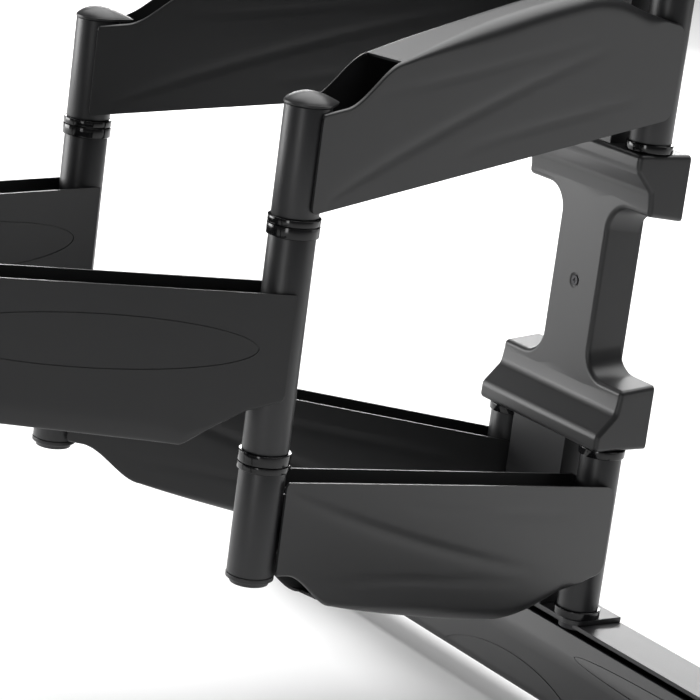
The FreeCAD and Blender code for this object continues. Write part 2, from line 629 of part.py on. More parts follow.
def save_front_arm(side, start, turn, gap_at_head):
    save(side + "_front_arm_beam", set_arm(front_beam(), start, turn))
    save(side + "_front_arm_cover", set_arm(front_arm_cover(), start, turn))
    save(side + "_front_arm_bushes", *[set_arm(item, start, turn) for item in front_arm_bushes(gap_at_head)])


# ---- screen head ------------------------------------------------------------------------
def head_lug():
    """Upper lug of the screen head."""
    half = PIVOT_OFFSET + TAB_EDGE
    back = HEAD_Y + TAB_EDGE
    plate = box(HEAD_X - half, HEAD_X + half, HEAD_Y - HEAD_PLATE_AT, back, HEAD_LUG_LOW, HEAD_LUG_TOP)
    corners = [edge for edge in upright_edges(plate) if edge.CenterOfMass.y > HEAD_Y]
    plate = plate.makeFillet(TAB_EDGE * 0.8, corners)
    return less(plate, [post(HEAD_X + side * PIVOT_OFFSET, HEAD_Y, 0, RAIL_TOP, PIN_R) for side in SIDES])


def head_plate():
    """Upright plate that joins the two lugs and carries the cheeks."""
    half = PIVOT_OFFSET + TAB_EDGE
    front = HEAD_Y - HEAD_PLATE_AT - PLATE_T
    return box(HEAD_X - half, HEAD_X + half, front, front + PLATE_T, -HEAD_LUG_TOP, HEAD_LUG_TOP)


def guide_arc(x0, x1):
    """Curved slot round the tilt axis that lets the guide bolt travel over the tilt range."""
    outer = rod_x(x0, x1, TILT_Y, 0, GUIDE_AT + GUIDE_R + FACE_GAP)
    arc = outer.cut(rod_x(x0 - 1, x1 + 1, TILT_Y, 0, GUIDE_AT - GUIDE_R - FACE_GAP))
    far = GUIDE_AT * 3
    rays = []
    ends = []
    for angle in (-TILT_UP, TILT_DOWN):
        turn = math.radians(90 + angle)
        rays.append((TILT_Y + far * math.cos(turn), far * math.sin(turn)))
        y, z = TILT_Y + GUIDE_AT * math.cos(turn), GUIDE_AT * math.sin(turn)
        ends.append(rod_x(x0, x1, y, z, GUIDE_R + FACE_GAP))
    wedge = cross_prism([(TILT_Y, 0), rays[0], rays[1]], x0, x1)
    return joined([arc.common(wedge)] + ends)


def head_cheek(side):
    """Fixed cheek with the tilt bolt's hole and the guide slot."""
    near, far = side * CHEEK_HALF, side * (CHEEK_HALF + PLATE_T)
    x0, x1 = HEAD_X + min(near, far), HEAD_X + max(near, far)
    back = HEAD_Y - HEAD_PLATE_AT - PLATE_T
    body = box(x0, x1, TILT_Y, back, -CHEEK_H, CHEEK_H)
    nose = rod_x(x0, x1, TILT_Y, 0, CHEEK_ROUND)
    brow = cross_prism([(TILT_Y, 0), (TILT_Y, CHEEK_H), (TILT_Y - CHEEK_ROUND * 0.8, CHEEK_H),
                        (TILT_Y - CHEEK_ROUND, 0)], x0, x1)
    hole = rod_x(x0 - 1, x1 + 1, TILT_Y, 0, TILT_BOLT_R)
    return less(joined([body, nose, brow]), [hole, guide_arc(x0 - 1, x1 + 1)])


def tilt_cheek(side):
    """Moving cheek inside a fixed one, on the tilt plate."""
    near = side * (CHEEK_HALF - CHEEK_GAP)
    far = near - side * PLATE_T
    x0, x1 = HEAD_X + min(near, far), HEAD_X + max(near, far)
    body = box(x0, x1, TILT_PLATE_Y, TILT_Y, -CHEEK_H, CHEEK_H)
    boss = rod_x(x0, x1, TILT_Y, 0, TILT_BOLT_R * 2.2)
    crest = rod_x(x0, x1, TILT_Y, GUIDE_AT, GUIDE_R * 2.4)
    holes = [rod_x(x0 - 1, x1 + 1, TILT_Y, 0, TILT_BOLT_R + RUN_GAP),
             rod_x(x0 - 1, x1 + 1, TILT_Y, GUIDE_AT, GUIDE_R)]
    return less(joined([body, boss, crest]), holes)


def tilt_bolt(side):
    """Shoulder bolt fixed in the head's cheek, on which the moving cheek turns."""
    inner = side * (CHEEK_HALF - CHEEK_GAP - PLATE_T - FACE_GAP)
    outer = side * (CHEEK_HALF + PLATE_T)
    x0, x1 = HEAD_X + min(inner, outer), HEAD_X + max(inner, outer)
    shank = rod_x(x0, x1, TILT_Y, 0, TILT_BOLT_R - SEAT_GAP)
    flange = rod_x(*sorted((HEAD_X + inner, HEAD_X + inner - side * NUT_H)), TILT_Y, 0, TILT_BOLT_R * 1.7)
    head = rod_x(*sorted((HEAD_X + outer, HEAD_X + outer + side * NUT_H)), TILT_Y, 0, TILT_BOLT_R * 1.7)
    return joined([shank, flange, head])


def guide_bolt(side):
    """Guide bolt in the moving cheek, through the fixed cheek's slot, with its hand knob."""
    inner = side * (CHEEK_HALF - CHEEK_GAP - PLATE_T)
    outer = side * (CHEEK_HALF + PLATE_T + FACE_GAP)
    shank_end = outer + side * KNOB_H * 0.7
    shank = rod_x(*sorted((HEAD_X + inner, HEAD_X + shank_end)), TILT_Y, GUIDE_AT, GUIDE_R - SEAT_GAP)
    nut = rod_x(*sorted((HEAD_X + inner, HEAD_X + inner - side * NUT_H)), TILT_Y, GUIDE_AT, GUIDE_R * 1.8)
    knob_end = outer + side * KNOB_H
    knob = rod_x(*sorted((HEAD_X + outer, HEAD_X + knob_end)), TILT_Y, GUIDE_AT, KNOB_R)
    grooves = []
    for step in range(KNOB_GRIPS):
        turn = 2 * math.pi * step / KNOB_GRIPS
        y, z = TILT_Y + KNOB_R * 1.12 * math.cos(turn), GUIDE_AT + KNOB_R * 1.12 * math.sin(turn)
        grooves.append(rod_x(*sorted((HEAD_X + outer - side, HEAD_X + knob_end + side)), y, z, KNOB_R * 0.24))
    bore_end = outer + side * (KNOB_H * 0.7 + FACE_GAP)
    bore = rod_x(*sorted((HEAD_X + outer - side, HEAD_X + bore_end)), TILT_Y, GUIDE_AT,
                 GUIDE_R - SEAT_GAP + RUN_GAP)
    return joined([shank, nut]), less(knob, grooves + [bore])


def tilt_plate():
    """Upright plate of the tilting frame, with a window for the cables."""
    z = TV_RAIL_AT + TV_RAIL_H / 2
    front = TILT_PLATE_Y - PLATE_T
    plate = box(HEAD_X - TILT_PLATE_HALF, HEAD_X + TILT_PLATE_HALF, front, TILT_PLATE_Y, -z, z)
    window_half = CHEEK_HALF - CHEEK_GAP - PLATE_T - SHEET * 5
    window = box(HEAD_X - window_half, HEAD_X + window_half, front - 1, TILT_PLATE_Y + 1, -CHEEK_H, CHEEK_H)
    return less(plate, [window])


def tv_rail():
    """Upper screen rail: a folded channel, open towards the wall."""
    y0 = TILT_PLATE_Y - PLATE_T - TV_RAIL_DEPTH
    y1 = TILT_PLATE_Y - PLATE_T
    low, high = TV_RAIL_AT - TV_RAIL_H / 2, TV_RAIL_AT + TV_RAIL_H / 2
    x0, x1 = HEAD_X - TV_RAIL_HALF, HEAD_X + TV_RAIL_HALF
    outer = box(x0, x1, y0, y1, low, high)
    inner = box(x0 - 1, x1 + 1, y0 + SHEET, y1 + 1, low + SHEET, high - SHEET)
    return less(outer, [inner])


def tv_rail_cap(side):
    """Plastic end cap of an upper screen rail."""
    y0 = TILT_PLATE_Y - PLATE_T - TV_RAIL_DEPTH
    y1 = TILT_PLATE_Y - PLATE_T
    low, high = TV_RAIL_AT - TV_RAIL_H / 2, TV_RAIL_AT + TV_RAIL_H / 2
    near, far = HEAD_X + side * TV_RAIL_HALF, HEAD_X + side * (TV_RAIL_HALF + SHEET)
    x0, x1 = min(near, far), max(near, far)
    plug_end = near - side * TV_RAIL_DEPTH
    plug = box(min(near, plug_end), max(near, plug_end), y0 + SHEET, y1, low + SHEET, high - SHEET)
    return joined([box(x0, x1, y0, y1, low, high), plug])


def bracket(side):
    """Upright screen bracket: a channel with the screen's bolt holes, open towards the wall."""
    x = HEAD_X + side * BRACKET_AT
    back = TILT_PLATE_Y - PLATE_T - TV_RAIL_DEPTH - BRACKET_GAP
    front = back - BRACKET_DEPTH
    outer = box(x - BRACKET_HALF, x + BRACKET_HALF, front, back, -BRACKET_LONG, BRACKET_LONG)
    inner = box(x - BRACKET_HALF + SHEET, x + BRACKET_HALF - SHEET, front + SHEET, back + 1,
                -BRACKET_LONG - 1, BRACKET_LONG + 1)
    holes = [rod_y(x, front - 1, front + SHEET + 1, up * row, VESA_R) for up in SIDES for row in VESA_ROWS]
    return less(outer, [inner] + holes)


def bracket_hook(side):
    """Hook at the top of a bracket, over the upper rail and down behind it."""
    x = HEAD_X + side * BRACKET_AT
    rail_front = TILT_PLATE_Y - PLATE_T - TV_RAIL_DEPTH
    rail_back = rail_front + TV_RAIL_DEPTH
    top = TV_RAIL_AT + TV_RAIL_H / 2 + BRACKET_GAP
    half = BRACKET_HALF - SHEET
    root = box(x - half, x + half, rail_front - BRACKET_GAP - BRACKET_DEPTH + SHEET, rail_back + BRACKET_GAP,
               top, top + SHEET)
    lip = box(x - half, x + half, rail_back + BRACKET_GAP, rail_back + BRACKET_GAP + SHEET,
              top - HOOK_LAP, top + SHEET)
    return joined([root, lip])


def lock_screw(side):
    """Safety screw up through the lower hook, which stops a bracket from lifting off."""
    x = HEAD_X + side * BRACKET_AT
    middle = TILT_PLATE_Y - PLATE_T - TV_RAIL_DEPTH / 2
    top = -TV_RAIL_AT - TV_RAIL_H / 2 - BRACKET_GAP
    shank = post(x, middle, top - SHEET - 1, top, GUIDE_R)
    corners = [(x + KEY_R * math.cos(step * math.pi / 3), middle + KEY_R * math.sin(step * math.pi / 3),
                top - SHEET - KEY_H) for step in range(6)]
    head = Part.Face(ring_of(corners)).extrude(Vector(0, 0, KEY_H))
    return joined([shank, head])


# ---- write every node -------------------------------------------------------------------
save("spine_plate", spine_plate())
save("core_channel", core_channel())
save("spine_cover", spine_cover())
save("cover_screw", cover_screw())
right_pin, left_pin = wall_pin(PIVOT_OFFSET), wall_pin(-PIVOT_OFFSET)
save("wall_pins", right_pin, left_pin, upside_down(right_pin), upside_down(left_pin))
for name, piece in (("lug_plate", lug_plate()), ("column", column()), ("pivot_tab", pivot_tab()),
                    ("wall_rail", rail()), ("rail_cover", rail_cover())):
    save("upper_" + name, piece)
    save("lower_" + name, upside_down(piece))
rail_caps = [rail_cap(side) for side in SIDES]
save("wall_rail_caps", *(rail_caps + [upside_down(item) for item in rail_caps]))

save_wall_arm("right", RIGHT_WALL, RIGHT_TURN)
save_wall_arm("left", LEFT_WALL, LEFT_TURN)
save("right_elbow_shaft", elbow_shaft(RIGHT_ELBOW))
save("left_elbow_shaft", elbow_shaft(LEFT_ELBOW))
save_front_arm("right", RIGHT_ELBOW, LEFT_TURN, RUN_GAP)
save_front_arm("left", LEFT_ELBOW, RIGHT_TURN, LOOSE_GAP)

save("upper_head_lug", head_lug())
save("lower_head_lug", upside_down(head_lug()))
save("head_plate", head_plate())
save("head_pins", *[head_pin(HEAD_X + side * PIVOT_OFFSET) for side in SIDES])
save("head_cheeks", *[head_cheek(side) for side in SIDES])
save("tilt_bolts", *[tilt_bolt(side) for side in SIDES])
save("tilt_cheeks", *[tilt_cheek(side) for side in SIDES])
save("tilt_plate", tilt_plate())
save("guide_bolts", *[guide_bolt(side)[0] for side in SIDES])
save("left_tilt_knob", guide_bolt(-1)[1])
save("right_tilt_knob", guide_bolt(1)[1])
screen_caps = [tv_rail_cap(side) for side in SIDES]
save("upper_screen_rail", tv_rail())
save("lower_screen_rail", upside_down(tv_rail()))
save("screen_rail_caps", *(screen_caps + [upside_down(item) for item in screen_caps]))
for side, name in ((-1, "left"), (1, "right")):
    hook = bracket_hook(side)
    save(name + "_screen_bracket", bracket(side))
    save(name + "_bracket_hooks", hook, upside_down(hook).cut(lock_screw(side)))
    save(name + "_lock_screw", lock_screw(side))
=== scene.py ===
import json
import math

import bmesh
import bpy
from bpy.props import FloatProperty, FloatVectorProperty, IntProperty, PointerProperty
from mathutils import Matrix, Vector

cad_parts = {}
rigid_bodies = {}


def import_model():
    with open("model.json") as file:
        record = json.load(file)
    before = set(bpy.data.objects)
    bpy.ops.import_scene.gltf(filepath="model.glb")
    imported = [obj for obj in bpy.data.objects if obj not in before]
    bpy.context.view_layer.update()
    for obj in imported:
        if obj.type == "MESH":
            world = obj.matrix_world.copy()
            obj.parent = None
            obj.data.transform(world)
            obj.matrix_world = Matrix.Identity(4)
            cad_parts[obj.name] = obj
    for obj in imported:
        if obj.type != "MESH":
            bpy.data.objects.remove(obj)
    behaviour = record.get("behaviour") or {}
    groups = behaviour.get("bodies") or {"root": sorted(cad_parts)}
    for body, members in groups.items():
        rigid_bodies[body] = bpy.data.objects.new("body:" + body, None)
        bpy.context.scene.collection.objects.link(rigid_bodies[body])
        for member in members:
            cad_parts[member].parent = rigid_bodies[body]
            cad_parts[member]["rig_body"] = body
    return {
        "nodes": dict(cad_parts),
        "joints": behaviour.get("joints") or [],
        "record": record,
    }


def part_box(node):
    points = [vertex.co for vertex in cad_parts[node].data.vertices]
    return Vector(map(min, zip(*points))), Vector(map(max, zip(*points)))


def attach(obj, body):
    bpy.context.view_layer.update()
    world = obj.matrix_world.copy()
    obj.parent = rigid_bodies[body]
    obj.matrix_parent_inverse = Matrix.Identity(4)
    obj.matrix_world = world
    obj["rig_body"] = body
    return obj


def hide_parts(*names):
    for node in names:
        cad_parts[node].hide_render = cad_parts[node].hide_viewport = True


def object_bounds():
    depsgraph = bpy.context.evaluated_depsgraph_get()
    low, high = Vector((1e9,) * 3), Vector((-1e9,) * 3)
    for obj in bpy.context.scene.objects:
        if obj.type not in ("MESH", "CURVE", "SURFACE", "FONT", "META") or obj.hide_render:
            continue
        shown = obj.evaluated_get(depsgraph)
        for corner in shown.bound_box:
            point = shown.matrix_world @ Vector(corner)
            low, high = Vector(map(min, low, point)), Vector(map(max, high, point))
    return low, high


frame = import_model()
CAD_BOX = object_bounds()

bl_info = {
    "name": "Full motion wall mount",
    "version": (1, 0, 0),
    "blender": (4, 5, 0),
    "location": "View3D > Sidebar > Wall mount",
    "description": "Makes the visible pieces, finishes and studio of a full motion screen wall mount",
    "category": "Object",
}

# ---- places read from the frame ---------------------------------------------------------
NODES = frame["nodes"]
SLOTS = {row["node"]: row["material_slot"] for row in frame["record"]["subparts"]}
PIVOTS = {joint["name"]: Vector(joint["pos_m"]) for joint in frame["joints"] if joint.get("pos_m")}
RIGHT_WALL, LEFT_WALL = PIVOTS["right_arm_swing"], PIVOTS["left_arm_swing"]
RIGHT_ELBOW, LEFT_ELBOW = PIVOTS["right_elbow_turn"], PIVOTS["left_elbow_turn"]
RIGHT_HEAD = PIVOTS["screen_head_turn"]
LEFT_HEAD = LEFT_ELBOW + RIGHT_ELBOW - RIGHT_WALL
WALL_ARMS = (("right", RIGHT_WALL, RIGHT_ELBOW), ("left", LEFT_WALL, LEFT_ELBOW))
FRONT_ARMS = (("right", RIGHT_ELBOW, RIGHT_HEAD), ("left", LEFT_ELBOW, LEFT_HEAD))
ARM_LENGTH = (RIGHT_ELBOW - RIGHT_WALL).length
MM = 0.001
BARREL_REACH = 15.5 * MM    # a little more than a barrel's radius
WALL_FOOT = 20.0 * MM       # a wall barrel's lower end to its arm
WALL_TOP = 29.0 * MM        # a wall barrel's upper end to its arm
SHARP = 38.0                # degrees past which an edge is shaded sharp
TOUCH = 1e-6                # nearer than this, in metres, counts as the same place
MERGE = 0.000002            # vertices this near are one


def barrel_span(node, axis):
    """Lowest and highest point of a CAD barrel that stands on an upright axis."""
    heights = [v.co.z for v in NODES[node].data.vertices if (v.co.xy - axis.xy).length < BARREL_REACH]
    return min(heights), max(heights)


WALL_BARREL = barrel_span("right_upper_arm_beam", RIGHT_WALL)
ELBOW_BARREL = barrel_span("right_upper_arm_beam", RIGHT_ELBOW)
FRONT_BARREL = barrel_span("right_front_arm_beam", RIGHT_ELBOW)


# ---- settings ---------------------------------------------------------------------------
def length(name, description, millimetres):
    return FloatProperty(name=name, description=description, default=millimetres * MM,
                         min=0.0, subtype="DISTANCE", unit="LENGTH", precision=5)


def colour(name, description, default):
    return FloatVectorProperty(name=name, description=description, default=default,
                               size=3, min=0.0, max=1.0, subtype="COLOR")


def share(name, description, default):
    return FloatProperty(name=name, description=description, default=default,
                         min=0.0, max=1.0, subtype="FACTOR")


class MOUNT_PG_finishes(bpy.types.PropertyGroup):
    """Colours and gloss of the mount's finishes."""
    plastic: colour("Moulded plastic", "Colour of the covers", (0.017, 0.0172, 0.018))
    plastic_rough: share("Plastic roughness", "Roughness of the covers", 0.39)
    coat: colour("Powder coat", "Colour of the coated steel", (0.016, 0.0162, 0.0175))
    coat_rough: share("Powder coat roughness", "Roughness of the coated steel", 0.38)
    ring: colour("Pivot ring", "Colour of the polished rings", (0.006, 0.006, 0.0065))
    bolt: colour("Black fastener", "Colour of the blackened screws and pins", (0.03, 0.03, 0.032))
    zinc: colour("Plated steel", "Colour of the plated shafts", (0.52, 0.53, 0.55))


class MOUNT_PG_covers(bpy.types.PropertyGroup):
    """Sizes of the plastic covers."""
    half: length("Arm cover half width", "Middle of an arm to a cover's outer face", 17.4)
    skin: length("Skin", "Thickness of the arm covers' walls", 1.6)
    lap: length("Elbow lap", "Arm covers beyond the elbow axis", 3.0)
    pulled: length("Lower pull", "Lower arm covers nearer to the wall than the upper ones", 9.0)
    wall_trim: length("Wall trim", "Arm covers stop short of the wall axis", 3.0)
    crown_rise: length("Crown rise", "Crown above the line between a cover's ends", 35.0)
    crown_at: length("Crown place", "Wall axis to the crown", 112.0)
    crown_round: length("Crown rounding", "Radius along the crown's two sides", 11.0)
    mouth: length("Cable mouth", "Length of the open mouth from the elbow axis", 62.0)
    mouth_rise: length("Mouth rise", "Height of the crown where the mouth starts", 21.0)
    belly: length("Belly", "Middle of a front arm to its cover's lowest point", 64.0)
    belly_at: length("Belly place", "Elbow axis to that point", 58.0)
    oval_long: length("Oval length", "Half the length of the engraved oval", 101.0)
    oval_short: length("Oval height", "Half the height of the engraved oval", 17.0)
    oval_at: length("Oval place", "Elbow axis to the oval's middle", 118.0)
    engraving: length("Engraving", "Width of the engraved lines", 0.9)


class MOUNT_PG_metal(bpy.types.PropertyGroup):
    """Sizes of the turned pieces and how far edges are rounded."""
    barrel: length("Barrel", "Outer radius of the pivot barrels", 15.0)
    bore: length("Bore", "Inner radius of the pivot barrels", 10.0)
    pin: length("Pin", "Radius of the pivot pins", 8.0)
    ring: length("Ring", "Radius of the rings at the pivots", 16.7)
    wall_ring: length("Wall ring", "Height of the rings at the wall pivots", 5.8)
    arm_ring: length("Elbow ring", "Height of a wall arm's ring at the elbow", 4.5)
    front_ring: length("Front ring", "Height of a front arm's rings", 7.2)
    sleeve: length("Sleeve", "Length of a bush inside its barrel", 24.0)
    cap: length("Cap", "Radius of the elbow caps", 15.8)
    edge: length("Edge", "Rounding of the steel plates' edges", 0.7)
    turns: IntProperty(name="Facets", description="Facets round a turned piece", default=88,
                       min=24, max=160)


class MOUNT_PG_view(bpy.types.PropertyGroup):
    """Camera of the studio."""
    azimuth: FloatProperty(name="Azimuth", description="Turn of the camera about the upright axis",
                           default=math.radians(54.78), subtype="ANGLE")
    pitch: FloatProperty(name="Pitch", description="How far the camera looks down",
                         default=math.radians(14.34), subtype="ANGLE")
    roll: FloatProperty(name="Roll", description="Turn of the camera about its own axis",
                        default=math.radians(7.56), subtype="ANGLE")
    place: FloatVectorProperty(name="Place", description="Where the camera stands",
                               default=(1.5392, -1.3071, 0.4363), size=3, subtype="TRANSLATION")
    lens: FloatProperty(name="Lens", description="Focal length in millimetres", default=146.5, min=10.0)


# ---- shader maths -----------------------------------------------------------------------
class Wire:
    """A shader socket that takes part in Python sums, each of which adds its Math node."""

    def __init__(self, sheet, socket):
        self.sheet = sheet
        self.socket = socket

    def math(self, operation, first, second):
        return self.sheet.node("ShaderNodeMath", {"operation": operation}, {0: first, 1: second})

    def __add__(self, other):
        return self.math("ADD", self, other)

    def __radd__(self, other):
        return self.math("ADD", other, self)

    def __mul__(self, other):
        return self.math("MULTIPLY", self, other)


class Sheet:
    """One material's node tree, with its Principled shader ready to be wired."""

    def __init__(self, name):
        self.material = bpy.data.materials.new(name)
        self.material.use_nodes = True
        self.tree = self.material.node_tree
        self.shader = self.tree.nodes["Principled BSDF"]
        self.place = self.node("ShaderNodeTexCoord", {}, {}, "Object")

    def node(self, kind, settings, inputs, output=0):
        """Adds a node, sets its settings, then its inputs, and gives back one output."""
        made = self.tree.nodes.new(kind)
        for key, value in settings.items():
            setattr(made, key, value)
        for key, value in inputs.items():
            self.feed(made.inputs[key], value)
        return Wire(self, made.outputs[output])

    def feed(self, socket, value):
        if isinstance(value, Wire):
            self.tree.links.new(value.socket, socket)
        else:
            socket.default_value = value

    def noise(self, scale, detail=2.0, stretch=(1.0, 1.0, 1.0)):
        """Noise on the piece's own coordinates, from 0 to 1."""
        placed = self.node("ShaderNodeMapping", {}, {"Vector": self.place, "Scale": stretch})
        return self.node("ShaderNodeTexNoise", {}, {"Vector": placed, "Scale": scale, "Detail": detail})

    def blend(self, factor, first, second):
        """A mix of two colours."""
        return self.node("ShaderNodeMix", {"data_type": "RGBA"},
                         {"Factor": factor, 6: (*first, 1.0), 7: (*second, 1.0)}, 2)

    def bump(self, height, depth, strength=1.0):
        return self.node("ShaderNodeBump", {}, {"Height": height, "Distance": depth, "Strength": strength})

    def finish(self, **sockets):
        """Feeds the Principled shader's sockets; underscores stand for spaces."""
        for name, value in sockets.items():
            self.feed(self.shader.inputs[name.replace("_", " ")], value)
        return self.material


def tinted(base, factor):
    return tuple(min(1.0, channel * factor) for channel in base)


# ---- finishes ---------------------------------------------------------------------------
def moulded_plastic(name, base, roughness):
    """Satin black plastic from a finely etched mould, a little glossier where hands polish it."""
    sheet = Sheet(name)
    etch = sheet.noise(1900.0, 3.0)
    cloud = sheet.noise(14.0, 4.0)
    handled = sheet.noise(5.0, 2.0)
    return sheet.finish(
        Specular_IOR_Level=0.46,
        Base_Color=sheet.blend(cloud, tinted(base, 0.86), tinted(base, 1.16)),
        Roughness=roughness - 0.04 + cloud * 0.06 + handled * 0.05,
        Normal=sheet.bump(etch, 0.00004, 0.5))


def powder_coat(name, base, roughness):
    """Baked powder coat: faint orange peel over steel, with a finer sparkle in its roughness."""
    sheet = Sheet(name)
    peel = sheet.noise(420.0, 1.5)
    grit = sheet.noise(2600.0, 2.0)
    cloud = sheet.noise(9.0, 3.0)
    return sheet.finish(
        Specular_IOR_Level=0.5,
        Base_Color=sheet.blend(cloud, tinted(base, 0.9), tinted(base, 1.12)),
        Roughness=roughness - 0.03 + grit * 0.07 + cloud * 0.04,
        Normal=sheet.bump(peel * 0.7 + grit * 0.3, 0.00006, 0.45))


def polished_ring(name, base):
    """Polished black plastic of the pivot rings, with the faint haze of handling."""
    sheet = Sheet(name)
    haze = sheet.noise(60.0, 3.0)
    hairs = sheet.noise(900.0, 2.0, (0.15, 0.15, 4.0))
    return sheet.finish(
        Specular_IOR_Level=0.3,
        Coat_Roughness=0.05,
        Base_Color=sheet.blend(haze, tinted(base, 0.8), tinted(base, 1.5)),
        Roughness=0.1 + haze * 0.09,
        Coat_Weight=0.12 + haze * 0.15,
        Normal=sheet.bump(hairs, 0.00001, 0.3))


def black_oxide(name, base):
    """Blackened steel of the screws and pins, with faint turning marks along their height."""
    sheet = Sheet(name)
    marks = sheet.noise(240.0, 2.0, (0.3, 0.3, 9.0))
    cloud = sheet.noise(70.0, 3.0)
    return sheet.finish(
        Base_Color=sheet.blend(cloud, tinted(base, 0.7), tinted(base, 1.4)),
        Metallic=0.72 + cloud * 0.2,
        Roughness=0.3 + marks * 0.16,
        Normal=sheet.bump(marks, 0.00003, 0.5))


def plated_steel(name, base):
    """Bright zinc plate with fine turning marks."""
    sheet = Sheet(name)
    marks = sheet.noise(300.0, 2.0, (0.3, 0.3, 12.0))
    cloud = sheet.noise(40.0, 3.0)
    return sheet.finish(
        Base_Color=sheet.blend(cloud, tinted(base, 0.86), tinted(base, 1.08)),
        Metallic=0.95 + cloud * 0.05,
        Roughness=0.22 + marks * 0.18,
        Normal=sheet.bump(marks, 0.00004, 0.5))


def make_finishes(look):
    """Every material slot's finish, by the slot's name in the record."""
    return {
        "powder_coat": powder_coat("black_powder_coat", look.coat, look.coat_rough),
        "satin_plastic": moulded_plastic("satin_black_plastic", look.plastic, look.plastic_rough),
        "ring_plastic": polished_ring("polished_ring_plastic", look.ring),
        "black_fastener": black_oxide("black_oxide_steel", look.bolt),
        "bright_steel": plated_steel("plated_steel", look.zinc),
        "knob_plastic": moulded_plastic("knob_plastic", tinted(look.plastic, 0.9),
                                        look.plastic_rough + 0.08),
    }


FINISHES = {}


# ---- mesh helpers -----------------------------------------------------------------------
def smooth_step(t):
    t = min(1.0, max(0.0, t))
    return t * t * (3.0 - 2.0 * t)


def add_in(mesh, part):
    """Adds one bmesh to another."""
    carrier = bpy.data.meshes.new("carrier")
    part.to_mesh(carrier)
    part.free()
    mesh.from_mesh(carrier)
    bpy.data.meshes.remove(carrier)


def chained(mesh, points, closed=True):
    """Adds points to a mesh, joined one to the next, and gives back their vertices."""
    chain = [mesh.verts.new(point) for point in points]
    for first, second in zip(chain, chain[1:] + (chain[:1] if closed else [])):
        mesh.edges.new((first, second))
    return chain


def turned(mesh, outline, at, rounding, steps):
    """Turns a closed outline of (radius, height) points round the upright line at a place."""
    part = bmesh.new()
    chained(part, [(radius, 0.0, height) for radius, height in outline])
    bmesh.ops.bevel(part, geom=part.verts[:], offset=rounding, offset_type="OFFSET", segments=3,
                    profile=0.5, affect="VERTICES", material=-1, clamp_overlap=True)
    bmesh.ops.spin(part, geom=part.verts[:] + part.edges[:], angle=2 * math.pi, steps=steps,
                   axis=(0, 0, 1), cent=(0, 0, 0), use_merge=True)
    bmesh.ops.translate(part, vec=(at.x, at.y, 0.0), verts=part.verts)
    bmesh.ops.recalc_face_normals(part, faces=part.faces)
    add_in(mesh, part)


def raise_faces(mesh):
    """Extrudes all of a mesh's faces and gives back the raised vertices."""
    raised = bmesh.ops.extrude_face_region(mesh, geom=mesh.faces[:])["geom"]
    return [item for item in raised if isinstance(item, bmesh.types.BMVert)]


def lay_along(mesh, start, end):
    """Turns a mesh made along +X from the origin so that it runs from start to end."""
    turn = math.atan2(end.y - start.y, end.x - start.x)
    bmesh.ops.rotate(mesh, cent=(0, 0, 0), matrix=Matrix.Rotation(turn, 3, "Z"), verts=mesh.verts)
    bmesh.ops.translate(mesh, vec=(start.x, start.y, 0.0), verts=mesh.verts)


def flip_over(mesh):
    """Mirrors a mesh in the middle plane, with its faces outward again."""
    bmesh.ops.scale(mesh, vec=(1, 1, -1), verts=mesh.verts)
    bmesh.ops.reverse_faces(mesh, faces=mesh.faces)


def face_away(mesh, centre):
    """Turns an open shell's faces away from a point or line behind them."""
    mesh.normal_update()
    outward = sum(face.calc_area() * face.normal.dot(face.calc_center_median() - centre)
                  for face in mesh.faces)
    if outward < 0.0:
        bmesh.ops.reverse_faces(mesh, faces=mesh.faces)


def piece_from(name, mesh, sharp=SHARP):
    """Makes an object of a bmesh, merged, smooth, and sharp past an angle."""
    bmesh.ops.remove_doubles(mesh, verts=mesh.verts, dist=MERGE)
    data = bpy.data.meshes.new(name)
    mesh.to_mesh(data)
    mesh.free()
    data.shade_smooth()
    data.set_sharp_from_angle(angle=math.radians(sharp))
    piece = bpy.data.objects.new(name, data)
    bpy.context.scene.collection.objects.link(piece)
    return piece


def stands_for(piece, node):
    """Gives a piece its node's finish, body and place in the record."""
    slot = SLOTS[node]
    piece.data.materials.clear()
    piece.data.materials.append(FINISHES[slot])
    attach(piece, NODES[node]["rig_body"])
    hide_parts(node)


def even_shading(piece):
    weigh = piece.modifiers.new("even_shading", "WEIGHTED_NORMAL")
    weigh.keep_sharp = True


def walls(piece, thickness, rim):
    """Gives a shell its wall, inwards, and rounds the wall's rim."""
    wall = piece.modifiers.new("wall", "SOLIDIFY")
    wall.thickness = thickness
    wall.offset = -1.0
    wall.use_even_offset = True
    edge = piece.modifiers.new("rim", "BEVEL")
    edge.width = rim
    edge.segments = 2
    edge.limit_method = "ANGLE"
    edge.angle_limit = math.radians(50)
    edge.profile = 0.5


def settle(piece):
    """Applies a piece's modifiers."""
    bpy.context.view_layer.update()
    evaluated = piece.evaluated_get(bpy.context.evaluated_depsgraph_get())
    data = bpy.data.meshes.new_from_object(evaluated)
    piece.modifiers.clear()
    piece.data = data


def carve(piece, cutter_mesh):
    """Cuts a closed bmesh out of a piece."""
    bmesh.ops.recalc_face_normals(cutter_mesh, faces=cutter_mesh.faces)
    cutter = piece_from(piece.name + "_cutter", cutter_mesh)
    cut = piece.modifiers.new("cut", "BOOLEAN")
    cut.object = cutter
    cut.operation = "DIFFERENCE"
    cut.solver = "EXACT"
    settle(piece)
    bpy.data.objects.remove(cutter)
    piece.data.set_sharp_from_angle(angle=math.radians(SHARP))


